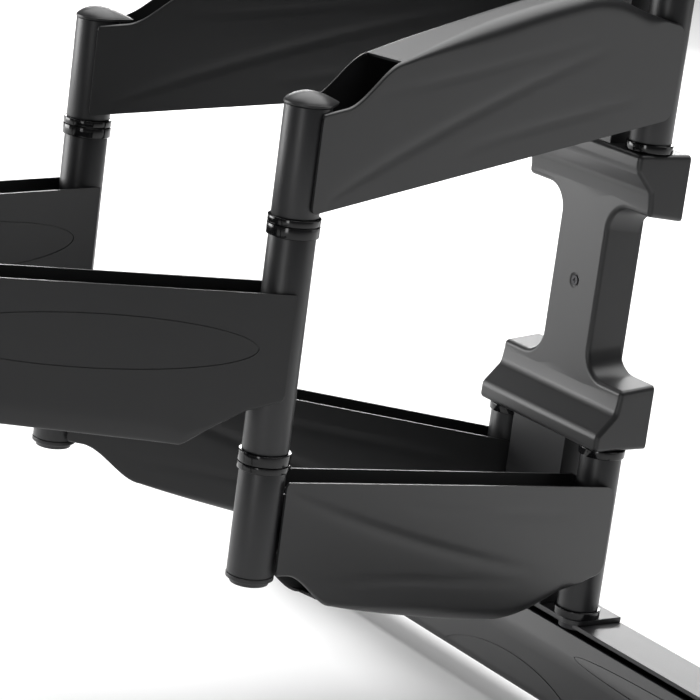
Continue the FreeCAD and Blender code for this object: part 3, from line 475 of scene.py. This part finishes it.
def oval_groove(mesh, middle, long, short, width, depth_axis, depth):
    """A flat oval ring in the XZ plane, given depth along an axis, for carving a line."""
    part = bmesh.new()
    loops = []
    for grow in (width / 2, -width / 2):
        made = bmesh.ops.create_circle(part, segments=140, radius=1.0)["verts"]
        bmesh.ops.scale(part, vec=(long + grow, short + grow, 1.0), verts=made)
        loops.append(made)
    bmesh.ops.bridge_loops(part, edges=part.edges[:])
    bmesh.ops.rotate(part, cent=(0, 0, 0), matrix=Matrix.Rotation(math.pi / 2, 3, "X"), verts=part.verts)
    bmesh.ops.translate(part, vec=Vector(middle) - Vector(depth_axis) * depth, verts=part.verts)
    bmesh.ops.translate(part, vec=Vector(depth_axis) * depth * 2, verts=raise_faces(part))
    add_in(mesh, part)


# ---- arm covers -------------------------------------------------------------------------
WALL_ROWS = 28              # rows of a cover's side, its bend and half of its top
BEND_ROWS = 8
TOP_ROWS = 4
HALF_ROWS = WALL_ROWS + BEND_ROWS + TOP_ROWS
STATIONS = 130
CROWDING = 0.8              # how far the stations crowd towards a cover's ends
OPEN_ROUND = 1.8 * MM       # rounding of a cover's edge where its top is open
COVER_RIM = 0.35 * MM       # rounding of a cover's wall at its rim


def drawn_in(gap, radius):
    """How far a rounded corner draws an edge in, at a distance from its end."""
    if gap >= radius:
        return 0.0
    return radius - math.sqrt(max(0.0, radius ** 2 - (radius - gap) ** 2))


def crease_depth(along, height, creases):
    """Depth of the soft moulded creases at a place on a cover's side."""
    depth = 0.0
    for start, start_height, end, end_height, sag, width, deep in creases:
        t = (along - start) / (end - start)
        if 0.0 < t < 1.0:
            line = start_height + (end_height - start_height) * t + sag * 4 * t * (1 - t)
            away = height - line
            spread = width if away < 0 else width * 3.2
            depth += deep * math.sin(math.pi * t) ** 0.7 * math.exp(-(away / spread) ** 2)
    return depth


def cover_shell(start, end, low, high, bend, closed, half, creases):
    """A channel-shaped cover along +X, made from a grid that is wrapped over the arm.

    low and high give its edge and its crown at a place along the arm, bend gives the inset and
    drop of the bend between side and top, and closed is the stretch that has a top.
    """
    mesh = bmesh.new()
    bmesh.ops.create_grid(mesh, x_segments=STATIONS, y_segments=2 * HALF_ROWS, size=0.5)
    top = set()
    for vert in mesh.verts:
        share_along = vert.co.x + 0.5
        share_along -= CROWDING * math.sin(2 * math.pi * share_along) / (2 * math.pi)
        along = start + (end - start) * share_along
        side = 1.0 if vert.co.y > 0 else -1.0
        row = HALF_ROWS - round(abs(vert.co.y) * 2 * HALF_ROWS)
        inset, drop = bend(along)
        foot, crown = low(along), high(along)
        if row <= WALL_ROWS:
            height = foot + (crown - drop - foot) * row / WALL_ROWS
            out = half - crease_depth(along, height - foot, creases)
        elif row <= WALL_ROWS + BEND_ROWS:
            turn = math.pi / 2 * (row - WALL_ROWS) / BEND_ROWS
            height = crown - drop + drop * math.sin(turn)
            out = half - inset * (1 - math.cos(turn))
        else:
            height = crown
            out = (half - inset) * (HALF_ROWS - row) / TOP_ROWS
        vert.co = Vector((along, side * out, height))
        if row >= WALL_ROWS + BEND_ROWS:
            top.add(vert)
    gone = [face for face in mesh.faces
            if all(vert in top for vert in face.verts)
            and not closed[0] <= face.calc_center_median().x <= closed[1]]
    bmesh.ops.delete(mesh, geom=gone, context="FACES")
    middle = Vector(((start + end) / 2, 0.0, low((start + end) / 2)))
    face_away(mesh, middle)
    return mesh


def wall_arm_cover(size, pulled):
    """Upper cover of a wall arm: a crowned top with a cable mouth that sweeps down to the elbow.

    pulled is how far the cover's two ends stand nearer to the wall.
    """
    foot_wall, foot_elbow = WALL_BARREL[0] + WALL_FOOT, ELBOW_BARREL[0] + 4.5 * MM
    top_wall, top_elbow = WALL_BARREL[1] - WALL_TOP, ELBOW_BARREL[1] - 2.5 * MM
    start, end = size.wall_trim - pulled / 3, ARM_LENGTH + size.lap - pulled
    mouth_at = ARM_LENGTH - size.mouth
    mouth_end = ARM_LENGTH - size.half
    top_at = 21.0 * MM

    def chord(along, at_wall, at_elbow):
        return at_wall + (at_elbow - at_wall) * along / ARM_LENGTH

    def low(along):
        edge = chord(along, foot_wall, foot_elbow)
        return edge + drawn_in(along - start, 9.0 * MM) + drawn_in(end - along, 4.0 * MM)

    def high(along):
        if along < size.crown_at:
            t = (along - start) / (size.crown_at - start)
            rise = size.crown_rise * math.sin(math.pi / 2 * max(0.0, t)) ** 1.45
        elif along < mouth_at:
            t = (along - size.crown_at) / (mouth_at - size.crown_at)
            rise = size.crown_rise - (size.crown_rise - size.mouth_rise) * t ** 1.8
        else:
            rise = size.mouth_rise * (1.0 - smooth_step((along - mouth_at) / (mouth_end - mouth_at)))
        edge = chord(along, top_wall, top_elbow) + rise
        return edge - drawn_in(along - start, 8.0 * MM) - drawn_in(end - along, 2.0 * MM)

    def bend(along):
        near_wall = smooth_step((along - top_at) / (26.0 * MM))
        near_mouth = smooth_step((mouth_at + 22.0 * MM - along) / (120.0 * MM))
        radius = OPEN_ROUND + (size.crown_round - OPEN_ROUND) * near_wall * near_mouth
        return radius, radius

    # each crease: start and its height, end and its height, sag, width, depth
    creases = (
        (332.0 * MM, 6.0 * MM, 74.0 * MM, 60.0 * MM, 5.5 * MM, 1.5 * MM, 0.85 * MM),
        (218.0 * MM, 15.0 * MM, 40.0 * MM, 19.5 * MM, 1.2 * MM, 1.3 * MM, 0.6 * MM),
        (300.0 * MM, 66.0 * MM, 84.0 * MM, 69.0 * MM, -2.0 * MM, 1.0 * MM, 0.5 * MM),
    )
    return cover_shell(start, end, low, high, bend, (top_at, mouth_at), size.half, creases)


def front_arm_cover(size):
    """Front arm cover: a channel that is open on top, with a belly below near the elbow.

    It is drawn upside down, as the shell's closed side is its top, and then turned over.
    """
    start, end = -size.lap, ARM_LENGTH + size.lap
    rim, ends, far = 35.0 * MM, 33.0 * MM, 46.0 * MM
    corner = 2.5 * MM
    clear, ease = 32.4 * MM, 45.0 * MM
    outline = ((start, ends), (0.35 * size.belly_at, ends + 7.0 * MM),
               (0.68 * size.belly_at, ends + 18.0 * MM), (size.belly_at, size.belly),
               (ARM_LENGTH - size.belly_at / 2, far), (end, ends))

    def low(along):
        return -rim

    def high(along):
        for (x0, z0), (x1, z1) in zip(outline, outline[1:]):
            if along <= x1:
                depth = z0 + (z1 - z0) * (along - x0) / (x1 - x0)
                return depth - drawn_in(along - start, corner) - drawn_in(end - along, corner)
        return ends - corner

    def bend(along):
        share_in = smooth_step((along - clear) / ease)
        share_in *= smooth_step((ARM_LENGTH - clear - along) / ease)
        return OPEN_ROUND + 2.4 * MM * share_in, OPEN_ROUND + 13.0 * MM * share_in

    mesh = cover_shell(start, end, low, high, bend, (clear, ARM_LENGTH - clear), size.half, ())
    flip_over(mesh)
    return mesh


class MOUNT_OT_arm_covers(bpy.types.Operator):
    """Moulds the four covers of the wall arms"""
    bl_idname = "mount.arm_covers"
    bl_label = "Wall arm covers"

    def execute(self, context):
        size = context.scene.mount_covers
        for side, start, end in WALL_ARMS:
            for level in ("upper", "lower"):
                mesh = wall_arm_cover(size, size.pulled if level == "lower" else 0.0)
                if level == "lower":
                    flip_over(mesh)
                lay_along(mesh, start, end)
                node = f"{side}_{level}_arm_cover"
                piece = piece_from(node + "_shell", mesh)
                walls(piece, size.skin, COVER_RIM)
                even_shading(piece)
                stands_for(piece, node)
        return {"FINISHED"}


class MOUNT_OT_front_covers(bpy.types.Operator):
    """Moulds the two covers of the front arms and engraves their ovals"""
    bl_idname = "mount.front_covers"
    bl_label = "Front arm covers"

    def execute(self, context):
        size = context.scene.mount_covers
        for side, start, end in FRONT_ARMS:
            mesh = front_arm_cover(size)
            lay_along(mesh, start, end)
            node = f"{side}_front_arm_cover"
            piece = piece_from(node + "_shell", mesh)
            walls(piece, size.skin, COVER_RIM)
            settle(piece)
            grooves = bmesh.new()
            for face in (-1.0, 1.0):
                middle = (size.oval_at, face * size.half, 0.0)
                oval_groove(grooves, middle, size.oval_long, size.oval_short, size.engraving,
                            (0.0, 1.0, 0.0), 0.6 * MM)
            lay_along(grooves, start, end)
            carve(piece, grooves)
            even_shading(piece)
            stands_for(piece, node)
        return {"FINISHED"}


# ---- arms' steel, rings and caps ---------------------------------------------------------
def barrel(mesh, span, axis, size):
    """A pivot barrel: a tube with eased ends."""
    low, high = span
    outline = ((size.bore, low), (size.barrel, low), (size.barrel, high), (size.bore, high))
    turned(mesh, outline, axis, 0.7 * MM, size.turns)


def beam(mesh, start, end, start_middle, end_middle, open_below):
    """The folded channel between two barrels."""
    half, height, sheet, fold = 9.0 * MM, 20.0 * MM, 3.0 * MM, 3.5 * MM
    clear = 11.0 * MM
    part = bmesh.new()
    bmesh.ops.create_cube(part, size=1.0)
    for vert in part.verts:
        along = clear if vert.co.x < 0 else ARM_LENGTH - clear
        middle = start_middle + (end_middle - start_middle) * along / ARM_LENGTH
        vert.co = Vector((along, 2 * half * vert.co.y, middle + 2 * height * vert.co.z))
    open_face = -1.0 if open_below else 1.0
    part.normal_update()
    gone = [face for face in part.faces if abs(face.normal.x) > 0.9 or face.normal.z * open_face > 0.9]
    bmesh.ops.delete(part, geom=gone, context="FACES")
    folds = [edge for edge in part.edges if edge.is_manifold]
    bmesh.ops.bevel(part, geom=folds, offset=fold, offset_type="OFFSET", segments=4,
                    profile=0.5, affect="EDGES", material=-1, clamp_overlap=True)
    bmesh.ops.solidify(part, geom=part.faces[:], thickness=sheet)
    bmesh.ops.recalc_face_normals(part, faces=part.faces)
    lay_along(part, start, end)
    add_in(mesh, part)


class MOUNT_OT_arm_steel(bpy.types.Operator):
    """Turns the barrels and folds the beams of the six arms"""
    bl_idname = "mount.arm_steel"
    bl_label = "Arm steel"

    def execute(self, context):
        size = context.scene.mount_metal
        wall_middle = (WALL_BARREL[0] + WALL_FOOT + WALL_BARREL[1] - WALL_TOP) / 2
        elbow_middle = sum(ELBOW_BARREL) / 2
        for side, start, end in WALL_ARMS:
            for level in ("upper", "lower"):
                mesh = bmesh.new()
                beam(mesh, start, end, wall_middle, elbow_middle, True)
                barrel(mesh, WALL_BARREL, start, size)
                barrel(mesh, ELBOW_BARREL, end, size)
                if level == "lower":
                    flip_over(mesh)
                node = f"{side}_{level}_arm_beam"
                piece = piece_from(node + "_steel", mesh)
                stands_for(piece, node)
        for side, start, end in FRONT_ARMS:
            mesh = bmesh.new()
            beam(mesh, start, end, 0.0, 0.0, False)
            for axis in (start, end):
                barrel(mesh, FRONT_BARREL, axis, size)
            node = f"{side}_front_arm_beam"
            piece = piece_from(node + "_steel", mesh)
            stands_for(piece, node)
        return {"FINISHED"}


def ring(mesh, axis, face, outward, height, size):
    """A flanged bush whose ring stands outside a barrel's end face."""
    bore, sleeve = size.pin + 0.4 * MM, size.bore - 0.1 * MM
    outer, inner = face + outward * height, face - outward * size.sleeve
    outline = [(bore, outer), (size.ring, outer), (size.ring, face),
               (sleeve, face), (sleeve, inner), (bore, inner)]
    if height == 0.0:
        outline = [(bore, face), (sleeve, face), (sleeve, inner), (bore, inner)]
    turned(mesh, outline, axis, 0.55 * MM, size.turns)


class MOUNT_OT_rings(bpy.types.Operator):
    """Turns the flanged bushes whose rings show at the pivots"""
    bl_idname = "mount.rings"
    bl_label = "Pivot rings"

    def execute(self, context):
        size = context.scene.mount_metal
        for side, start, end in WALL_ARMS:
            for level in ("upper", "lower"):
                mesh = bmesh.new()
                ring(mesh, start, WALL_BARREL[0], -1.0, size.wall_ring, size)
                ring(mesh, start, WALL_BARREL[1], 1.0, size.wall_ring, size)
                ring(mesh, end, ELBOW_BARREL[0], -1.0, size.arm_ring, size)
                ring(mesh, end, ELBOW_BARREL[1], 1.0, 0.0, size)
                if level == "lower":
                    flip_over(mesh)
                node = f"{side}_{level}_arm_bushes"
                stands_for(piece_from(node + "_rings", mesh), node)
        for side, start, end in FRONT_ARMS:
            mesh = bmesh.new()
            for axis in (start, end):
                ring(mesh, axis, FRONT_BARREL[0], -1.0, size.front_ring, size)
                ring(mesh, axis, FRONT_BARREL[1], 1.0, size.front_ring, size)
            node = f"{side}_front_arm_bushes"
            stands_for(piece_from(node + "_rings", mesh), node)
        return {"FINISHED"}


def top_cap(start, end, size):
    """Domed cap, drawn out to a soft point along the arm."""
    rim, dome, facets = 2.2 * MM, 6.3 * MM, 10
    lip, chamfer, step_in = size.cap - 0.35 * MM, 0.5 * MM, 0.4 * MM
    outline = [(0.0, 0.0), (lip - chamfer, 0.0), (lip, chamfer), (lip, rim - step_in)]
    for step in range(facets):
        turn = math.pi / 2 * step / facets
        outline.append(((lip - step_in) * math.cos(turn), rim + dome * math.sin(turn) ** 1.7))
    outline.append((0.0, rim + dome))
    mesh = bmesh.new()
    chained(mesh, [(radius, 0.0, height) for radius, height in outline], closed=False)
    bmesh.ops.spin(mesh, geom=mesh.verts[:] + mesh.edges[:], angle=2 * math.pi, steps=size.turns,
                   axis=(0, 0, 1), cent=(0, 0, 0), use_merge=True)
    bmesh.ops.remove_doubles(mesh, verts=mesh.verts, dist=MERGE)
    tail, droop = 9.0 * MM, 0.28
    for vert in mesh.verts:
        radius = vert.co.xy.length
        if radius > 0.0 and vert.co.x < 0.0:
            toward = (-vert.co.x / radius) ** 5 * (radius / size.cap) ** 2
            vert.co.x -= tail * toward
            vert.co.z -= droop * vert.co.z * toward
    bmesh.ops.recalc_face_normals(mesh, faces=mesh.faces)
    bmesh.ops.translate(mesh, vec=(ARM_LENGTH, 0.0, ELBOW_BARREL[1]), verts=mesh.verts)
    lay_along(mesh, start, end)
    return mesh


def bottom_cap(end, size):
    """Two-step cap under the lower elbow barrel."""
    face = -ELBOW_BARREL[1]
    middle = 0.4 * MM
    first, second = face - 2.8 * MM, face - 6.2 * MM
    outline = ((middle, face), (size.barrel + 0.4 * MM, face), (size.barrel + 0.4 * MM, first),
               (size.barrel - 2.0 * MM, first - 0.6 * MM), (size.barrel - 2.6 * MM, second),
               (middle, second))
    mesh = bmesh.new()
    turned(mesh, outline, end, 0.35 * MM, size.turns)
    return mesh


class MOUNT_OT_caps(bpy.types.Operator):
    """Moulds the caps on the two elbows"""
    bl_idname = "mount.caps"
    bl_label = "Elbow caps"

    def execute(self, context):
        size = context.scene.mount_metal
        for side, start, end in WALL_ARMS:
            stands_for(piece_from(side + "_top_cap_dome", top_cap(start, end, size)), side + "_top_cap")
            stands_for(piece_from(side + "_bottom_cap_steps", bottom_cap(end, size)), side + "_bottom_cap")
        return {"FINISHED"}


# ---- spine cover -------------------------------------------------------------------------
def spine_cover_shell():
    """The I-shaped cover: a narrow web between two wide heads that flare towards the arms."""
    low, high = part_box("spine_cover")
    half, web, web_round, edge_round = high.x, 27.0 * MM, 19.0 * MM, 3.4 * MM
    back, front, lean, lip = high.y, -34.0 * MM, -35.5 * MM, low.y
    inner, band, lip_at, outer = 63.0 * MM, 80.0 * MM, high.z - 12.0 * MM, high.z
    draft, depth_least, fold = 3.5 * MM, 8.0 * MM, math.radians(24)
    columns = (-half, -web, web, half)
    flat = inner + 6.0 * MM
    rows = ((-outer, lip), (-lip_at, lip), (-band, lean), (-flat, front), (-inner, front),
            (inner, front), (flat, front), (band, lean), (lip_at, lip), (outer, lip))
    mesh = bmesh.new()
    bmesh.ops.create_grid(mesh, x_segments=len(columns) - 1, y_segments=len(rows) - 1, size=0.5)
    for vert in mesh.verts:
        column = round((vert.co.x + 0.5) * (len(columns) - 1))
        height, depth = rows[round((vert.co.y + 0.5) * (len(rows) - 1))]
        vert.co = Vector((columns[column], depth, height))
    waste = [face for face in mesh.faces
             if abs(face.calc_center_median().x) > web and abs(face.calc_center_median().z) < inner]
    bmesh.ops.delete(mesh, geom=waste, context="FACES")
    for vert in raise_faces(mesh):
        vert.co.y = back
    behind = [face for face in mesh.faces if all(abs(vert.co.y - back) < TOUCH for vert in face.verts)]
    bmesh.ops.delete(mesh, geom=behind, context="FACES")
    bmesh.ops.recalc_face_normals(mesh, faces=mesh.faces)
    face_away(mesh, Vector((0.0, back, 0.0)))
    deep = [edge for edge in mesh.edges
            if abs(edge.verts[0].co.y - edge.verts[1].co.y) > depth_least]
    feet = [vert for vert in mesh.verts
            if abs(vert.co.y - back) < TOUCH and abs(abs(vert.co.z) - inner) < TOUCH]
    for vert in feet:
        vert.co.z -= math.copysign(draft, vert.co.z)
    inner_corners = [edge for edge in deep if abs(abs(edge.verts[0].co.x) - web) < TOUCH
                     and abs(abs(edge.verts[0].co.z) - inner) < draft + 0.5 * MM]
    bmesh.ops.bevel(mesh, geom=inner_corners, offset=web_round, offset_type="OFFSET", segments=10,
                    profile=0.5, affect="EDGES", material=-1, clamp_overlap=True)
    mesh.normal_update()
    edges = [edge for edge in mesh.edges if edge.is_manifold and edge.calc_face_angle(0.0) > fold]
    bmesh.ops.bevel(mesh, geom=edges, offset=edge_round, offset_type="OFFSET", segments=5,
                    profile=0.5, affect="EDGES", material=-1, clamp_overlap=False)
    return mesh


class MOUNT_OT_spine_cover(bpy.types.Operator):
    """Moulds the I-shaped cover over the middle of the wall frame"""
    bl_idname = "mount.spine_cover"
    bl_label = "Spine cover"

    def execute(self, context):
        skin, rim = 2.0 * MM, 0.3 * MM
        hollow, hollow_at = 12.0 * MM, -44.4 * MM
        piece = piece_from("spine_cover_shell", spine_cover_shell())
        walls(piece, skin, rim)
        settle(piece)
        cutter = bmesh.new()
        ball = bmesh.ops.create_uvsphere(cutter, u_segments=48, v_segments=32, radius=hollow)["verts"]
        bmesh.ops.translate(cutter, vec=(0.0, hollow_at, 0.0), verts=ball)
        carve(piece, cutter)
        even_shading(piece)
        stands_for(piece, "spine_cover")
        return {"FINISHED"}


# ---- rail covers -------------------------------------------------------------------------
def rail_cover_mesh():
    """Upper rail cover: a bent shell with a leaning band above its front, drawn along +X."""
    low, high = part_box("upper_rail_cover")
    skin, lean = 2.2 * MM, 4.0 * MM
    front, band = low.y, low.z + 20.0 * MM
    section = ((front + lean, low.z, 0.9), (front, band, 6.0), (front, high.z, 9.0), (high.y, high.z, 0.5),
               (high.y, high.z - skin, 0.5), (front + skin, high.z - skin, 6.8),
               (front + skin, band, 5.0), (front + lean + skin, low.z, 0.6))
    mesh = bmesh.new()
    chain = chained(mesh, [(low.x, y, z) for y, z, rounding in section])
    for vert, (y, z, rounding) in zip(chain, section):
        bmesh.ops.bevel(mesh, geom=[vert], offset=rounding * MM, offset_type="OFFSET", segments=7,
                        profile=0.5, affect="VERTICES", material=-1, clamp_overlap=False)
    bmesh.ops.contextual_create(mesh, geom=mesh.edges[:])
    bmesh.ops.translate(mesh, vec=(high.x - low.x, 0.0, 0.0), verts=raise_faces(mesh))
    bmesh.ops.recalc_face_normals(mesh, faces=mesh.faces)
    return mesh


class MOUNT_OT_rail_covers(bpy.types.Operator):
    """Moulds the two rail covers and engraves their arches and leaves"""
    bl_idname = "mount.rail_covers"
    bl_label = "Rail covers"

    def execute(self, context):
        size = context.scene.mount_covers
        low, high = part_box("upper_rail_cover")
        for level in ("upper", "lower"):
            piece = piece_from(level + "_rail_cover_shell", rail_cover_mesh())
            grooves = bmesh.new()
            deep = (0.0, 1.0, 0.0)
            arch = (0.0, low.y, high.z + 16.5 * MM)
            oval_groove(grooves, arch, 95.0 * MM, 42.0 * MM, size.engraving, deep, 0.7 * MM)
            for across in (-1.0, 1.0):
                leaf = (across * 200.0 * MM, low.y + 1.6 * MM, low.z + 14.0 * MM)
                oval_groove(grooves, leaf, 128.0 * MM, 6.4 * MM, size.engraving * 0.8, deep, 1.6 * MM)
            carve(piece, grooves)
            if level == "lower":
                mesh = bmesh.new()
                mesh.from_mesh(piece.data)
                flip_over(mesh)
                mesh.to_mesh(piece.data)
                mesh.free()
                piece.data.set_sharp_from_angle(angle=math.radians(SHARP))
            even_shading(piece)
            stands_for(piece, level + "_rail_cover")
        return {"FINISHED"}


# ---- plates, pins, rails and brackets ------------------------------------------------------
EDGE_ROUNDING = {           # millimetres, where it isn't the plates' own
    "cover_screw": 0.25, "wall_pins": 0.5, "head_pins": 0.5, "tilt_bolts": 0.6, "guide_bolts": 0.5,
    "right_lock_screw": 0.4, "left_lock_screw": 0.4, "wall_rail_caps": 0.9, "screen_rail_caps": 0.9,
    "right_tilt_knob": 1.1, "left_tilt_knob": 1.1,
}


HARDWARE_SHARP = 32.0       # degrees past which a plate's or pin's edge is shaded sharp


def eased_copy(node, rounding):
    """A node's shape with its corners eased, as a press, a coating or a mould leaves them."""
    flat, corner = math.radians(0.6), math.radians(34)
    mesh = bmesh.new()
    mesh.from_mesh(NODES[node].data)
    bmesh.ops.remove_doubles(mesh, verts=mesh.verts, dist=2 * MERGE)
    bmesh.ops.dissolve_limit(mesh, angle_limit=flat, use_dissolve_boundaries=False,
                             verts=mesh.verts, edges=mesh.edges)
    mesh.normal_update()
    corners = [edge for edge in mesh.edges if edge.is_manifold and edge.calc_face_angle(0.0) > corner]
    bmesh.ops.bevel(mesh, geom=corners, offset=rounding, offset_type="OFFSET", segments=3,
                    profile=0.5, affect="EDGES", material=-1, clamp_overlap=True)
    return mesh


class MOUNT_OT_hardware(bpy.types.Operator):
    """Eases the corners of every plate, pin, rail and bracket that has no piece of its own yet"""
    bl_idname = "mount.hardware"
    bl_label = "Plates and hardware"

    def execute(self, context):
        edge = context.scene.mount_metal.edge
        for node in sorted(NODES):
            if NODES[node].hide_render:
                continue
            rounding = EDGE_ROUNDING.get(node, edge / MM) * MM
            piece = piece_from(node + "_eased", eased_copy(node, rounding), HARDWARE_SHARP)
            even_shading(piece)
            stands_for(piece, node)
        return {"FINISHED"}


# ---- studio --------------------------------------------------------------------------------
def aimed(place, target):
    return (Vector(target) - Vector(place)).to_track_quat("-Z", "Y").to_euler()


def soft_box(name, place, target, width, height, power):
    """A rectangular studio light."""
    data = bpy.data.lights.new(name, "AREA")
    data.shape = "RECTANGLE"
    data.size = width
    data.size_y = height
    data.energy = power
    light = bpy.data.objects.new(name, data)
    light.location = place
    light.rotation_euler = aimed(place, target)
    bpy.context.scene.collection.objects.link(light)


def studio_floor():
    """A plain pale floor, just under the mount."""
    reach, gap = 14.0, 4.0 * MM
    mesh = bmesh.new()
    bmesh.ops.create_grid(mesh, x_segments=1, y_segments=1, size=reach)
    bmesh.ops.translate(mesh, vec=(0.0, 0.0, CAD_BOX[0][2] - gap), verts=mesh.verts)
    floor = piece_from("studio_floor", mesh)
    sheet = Sheet("pale_floor")
    cloud = sheet.noise(1.5, 3.0)
    floor.data.materials.append(sheet.finish(
        Base_Color=sheet.blend(cloud, (0.93, 0.93, 0.93), (0.96, 0.96, 0.96)),
        Roughness=0.75 + cloud * 0.1))


MIDDLE = (0.0, -0.2, 0.0)
SOFT_BOXES = (              # name, place, what it faces, width, height, watts
    ("left_front_softbox", (-2.5, -2.3, 0.25), MIDDLE, 1.9, 1.3, 69.0),
    ("front_strip", (1.5, -2.6, 0.2), MIDDLE, 0.5, 1.0, 11.0),
    ("right_back_softbox", (1.3, 2.6, 0.45), MIDDLE, 1.6, 1.3, 7.0),
    ("rim_light", (-2.9, 2.0, 1.0), MIDDLE, 2.6, 0.5, 60.0),
    ("backdrop_light", (-1.3, 0.9, 2.8), (-1.3, 0.9, 0.0), 4.6, 3.4, 205.0),
)
AIR_STRENGTH = 0.1
SENSOR = 36.0               # the camera's sensor width in millimetres
FAR_CLIP = 60.0             # metres


class MOUNT_OT_studio(bpy.types.Operator):
    """Sets up the floor, the soft lights and the camera"""
    bl_idname = "mount.studio"
    bl_label = "Studio"

    def execute(self, context):
        scene = context.scene
        view = scene.mount_view
        studio_floor()
        world = bpy.data.worlds.new("studio_air")
        world.use_nodes = True
        air = world.node_tree.nodes["Background"]
        air.inputs["Color"].default_value = (1.0, 1.0, 1.0, 1.0)
        air.inputs["Strength"].default_value = AIR_STRENGTH
        scene.world = world
        for light in SOFT_BOXES:
            soft_box(*light)
        camera = bpy.data.objects.new("studio_camera", bpy.data.cameras.new("studio_camera"))
        camera.data.lens = view.lens
        camera.data.sensor_width = SENSOR
        camera.data.clip_end = FAR_CLIP
        turn = (Matrix.Rotation(view.azimuth, 4, "Z")
                @ Matrix.Rotation(math.pi / 2 - view.pitch, 4, "X")
                @ Matrix.Rotation(view.roll, 4, "Z"))
        camera.matrix_world = Matrix.Translation(view.place) @ turn
        scene.collection.objects.link(camera)
        scene.camera = camera
        scene.view_settings.view_transform = "Standard"
        return {"FINISHED"}


# ---- panel and registration ----------------------------------------------------------------
OPERATORS = (MOUNT_OT_arm_covers, MOUNT_OT_front_covers, MOUNT_OT_arm_steel, MOUNT_OT_rings,
             MOUNT_OT_caps, MOUNT_OT_spine_cover, MOUNT_OT_rail_covers, MOUNT_OT_hardware,
             MOUNT_OT_studio)
GROUPS = {"mount_finishes": MOUNT_PG_finishes, "mount_covers": MOUNT_PG_covers,
          "mount_metal": MOUNT_PG_metal, "mount_view": MOUNT_PG_view}


class MOUNT_PT_panel(bpy.types.Panel):
    """Lists the mount's settings and operators"""
    bl_label = "Wall mount"
    bl_idname = "MOUNT_PT_panel"
    bl_space_type = "VIEW_3D"
    bl_region_type = "UI"
    bl_category = "Wall mount"

    def draw(self, context):
        for group in GROUPS:
            box = self.layout.box()
            settings = getattr(context.scene, group)
            for name in settings.bl_rna.properties.keys():
                if name not in ("rna_type", "name"):
                    box.prop(settings, name)
        for operator in OPERATORS:
            self.layout.operator(operator.bl_idname)


CLASSES = tuple(GROUPS.values()) + OPERATORS + (MOUNT_PT_panel,)


def register():
    for item in CLASSES:
        bpy.utils.register_class(item)
    for name, group in GROUPS.items():
        setattr(bpy.types.Scene, name, PointerProperty(type=group))


def unregister():
    for name in GROUPS:
        delattr(bpy.types.Scene, name)
    for item in reversed(CLASSES):
        bpy.utils.unregister_class(item)


def main():
    register()
    FINISHES.update(make_finishes(bpy.context.scene.mount_finishes))
    for operator in OPERATORS:
        group, name = operator.bl_idname.split(".")
        getattr(getattr(bpy.ops, group), name)()


if __name__ == "__main__":
    main()
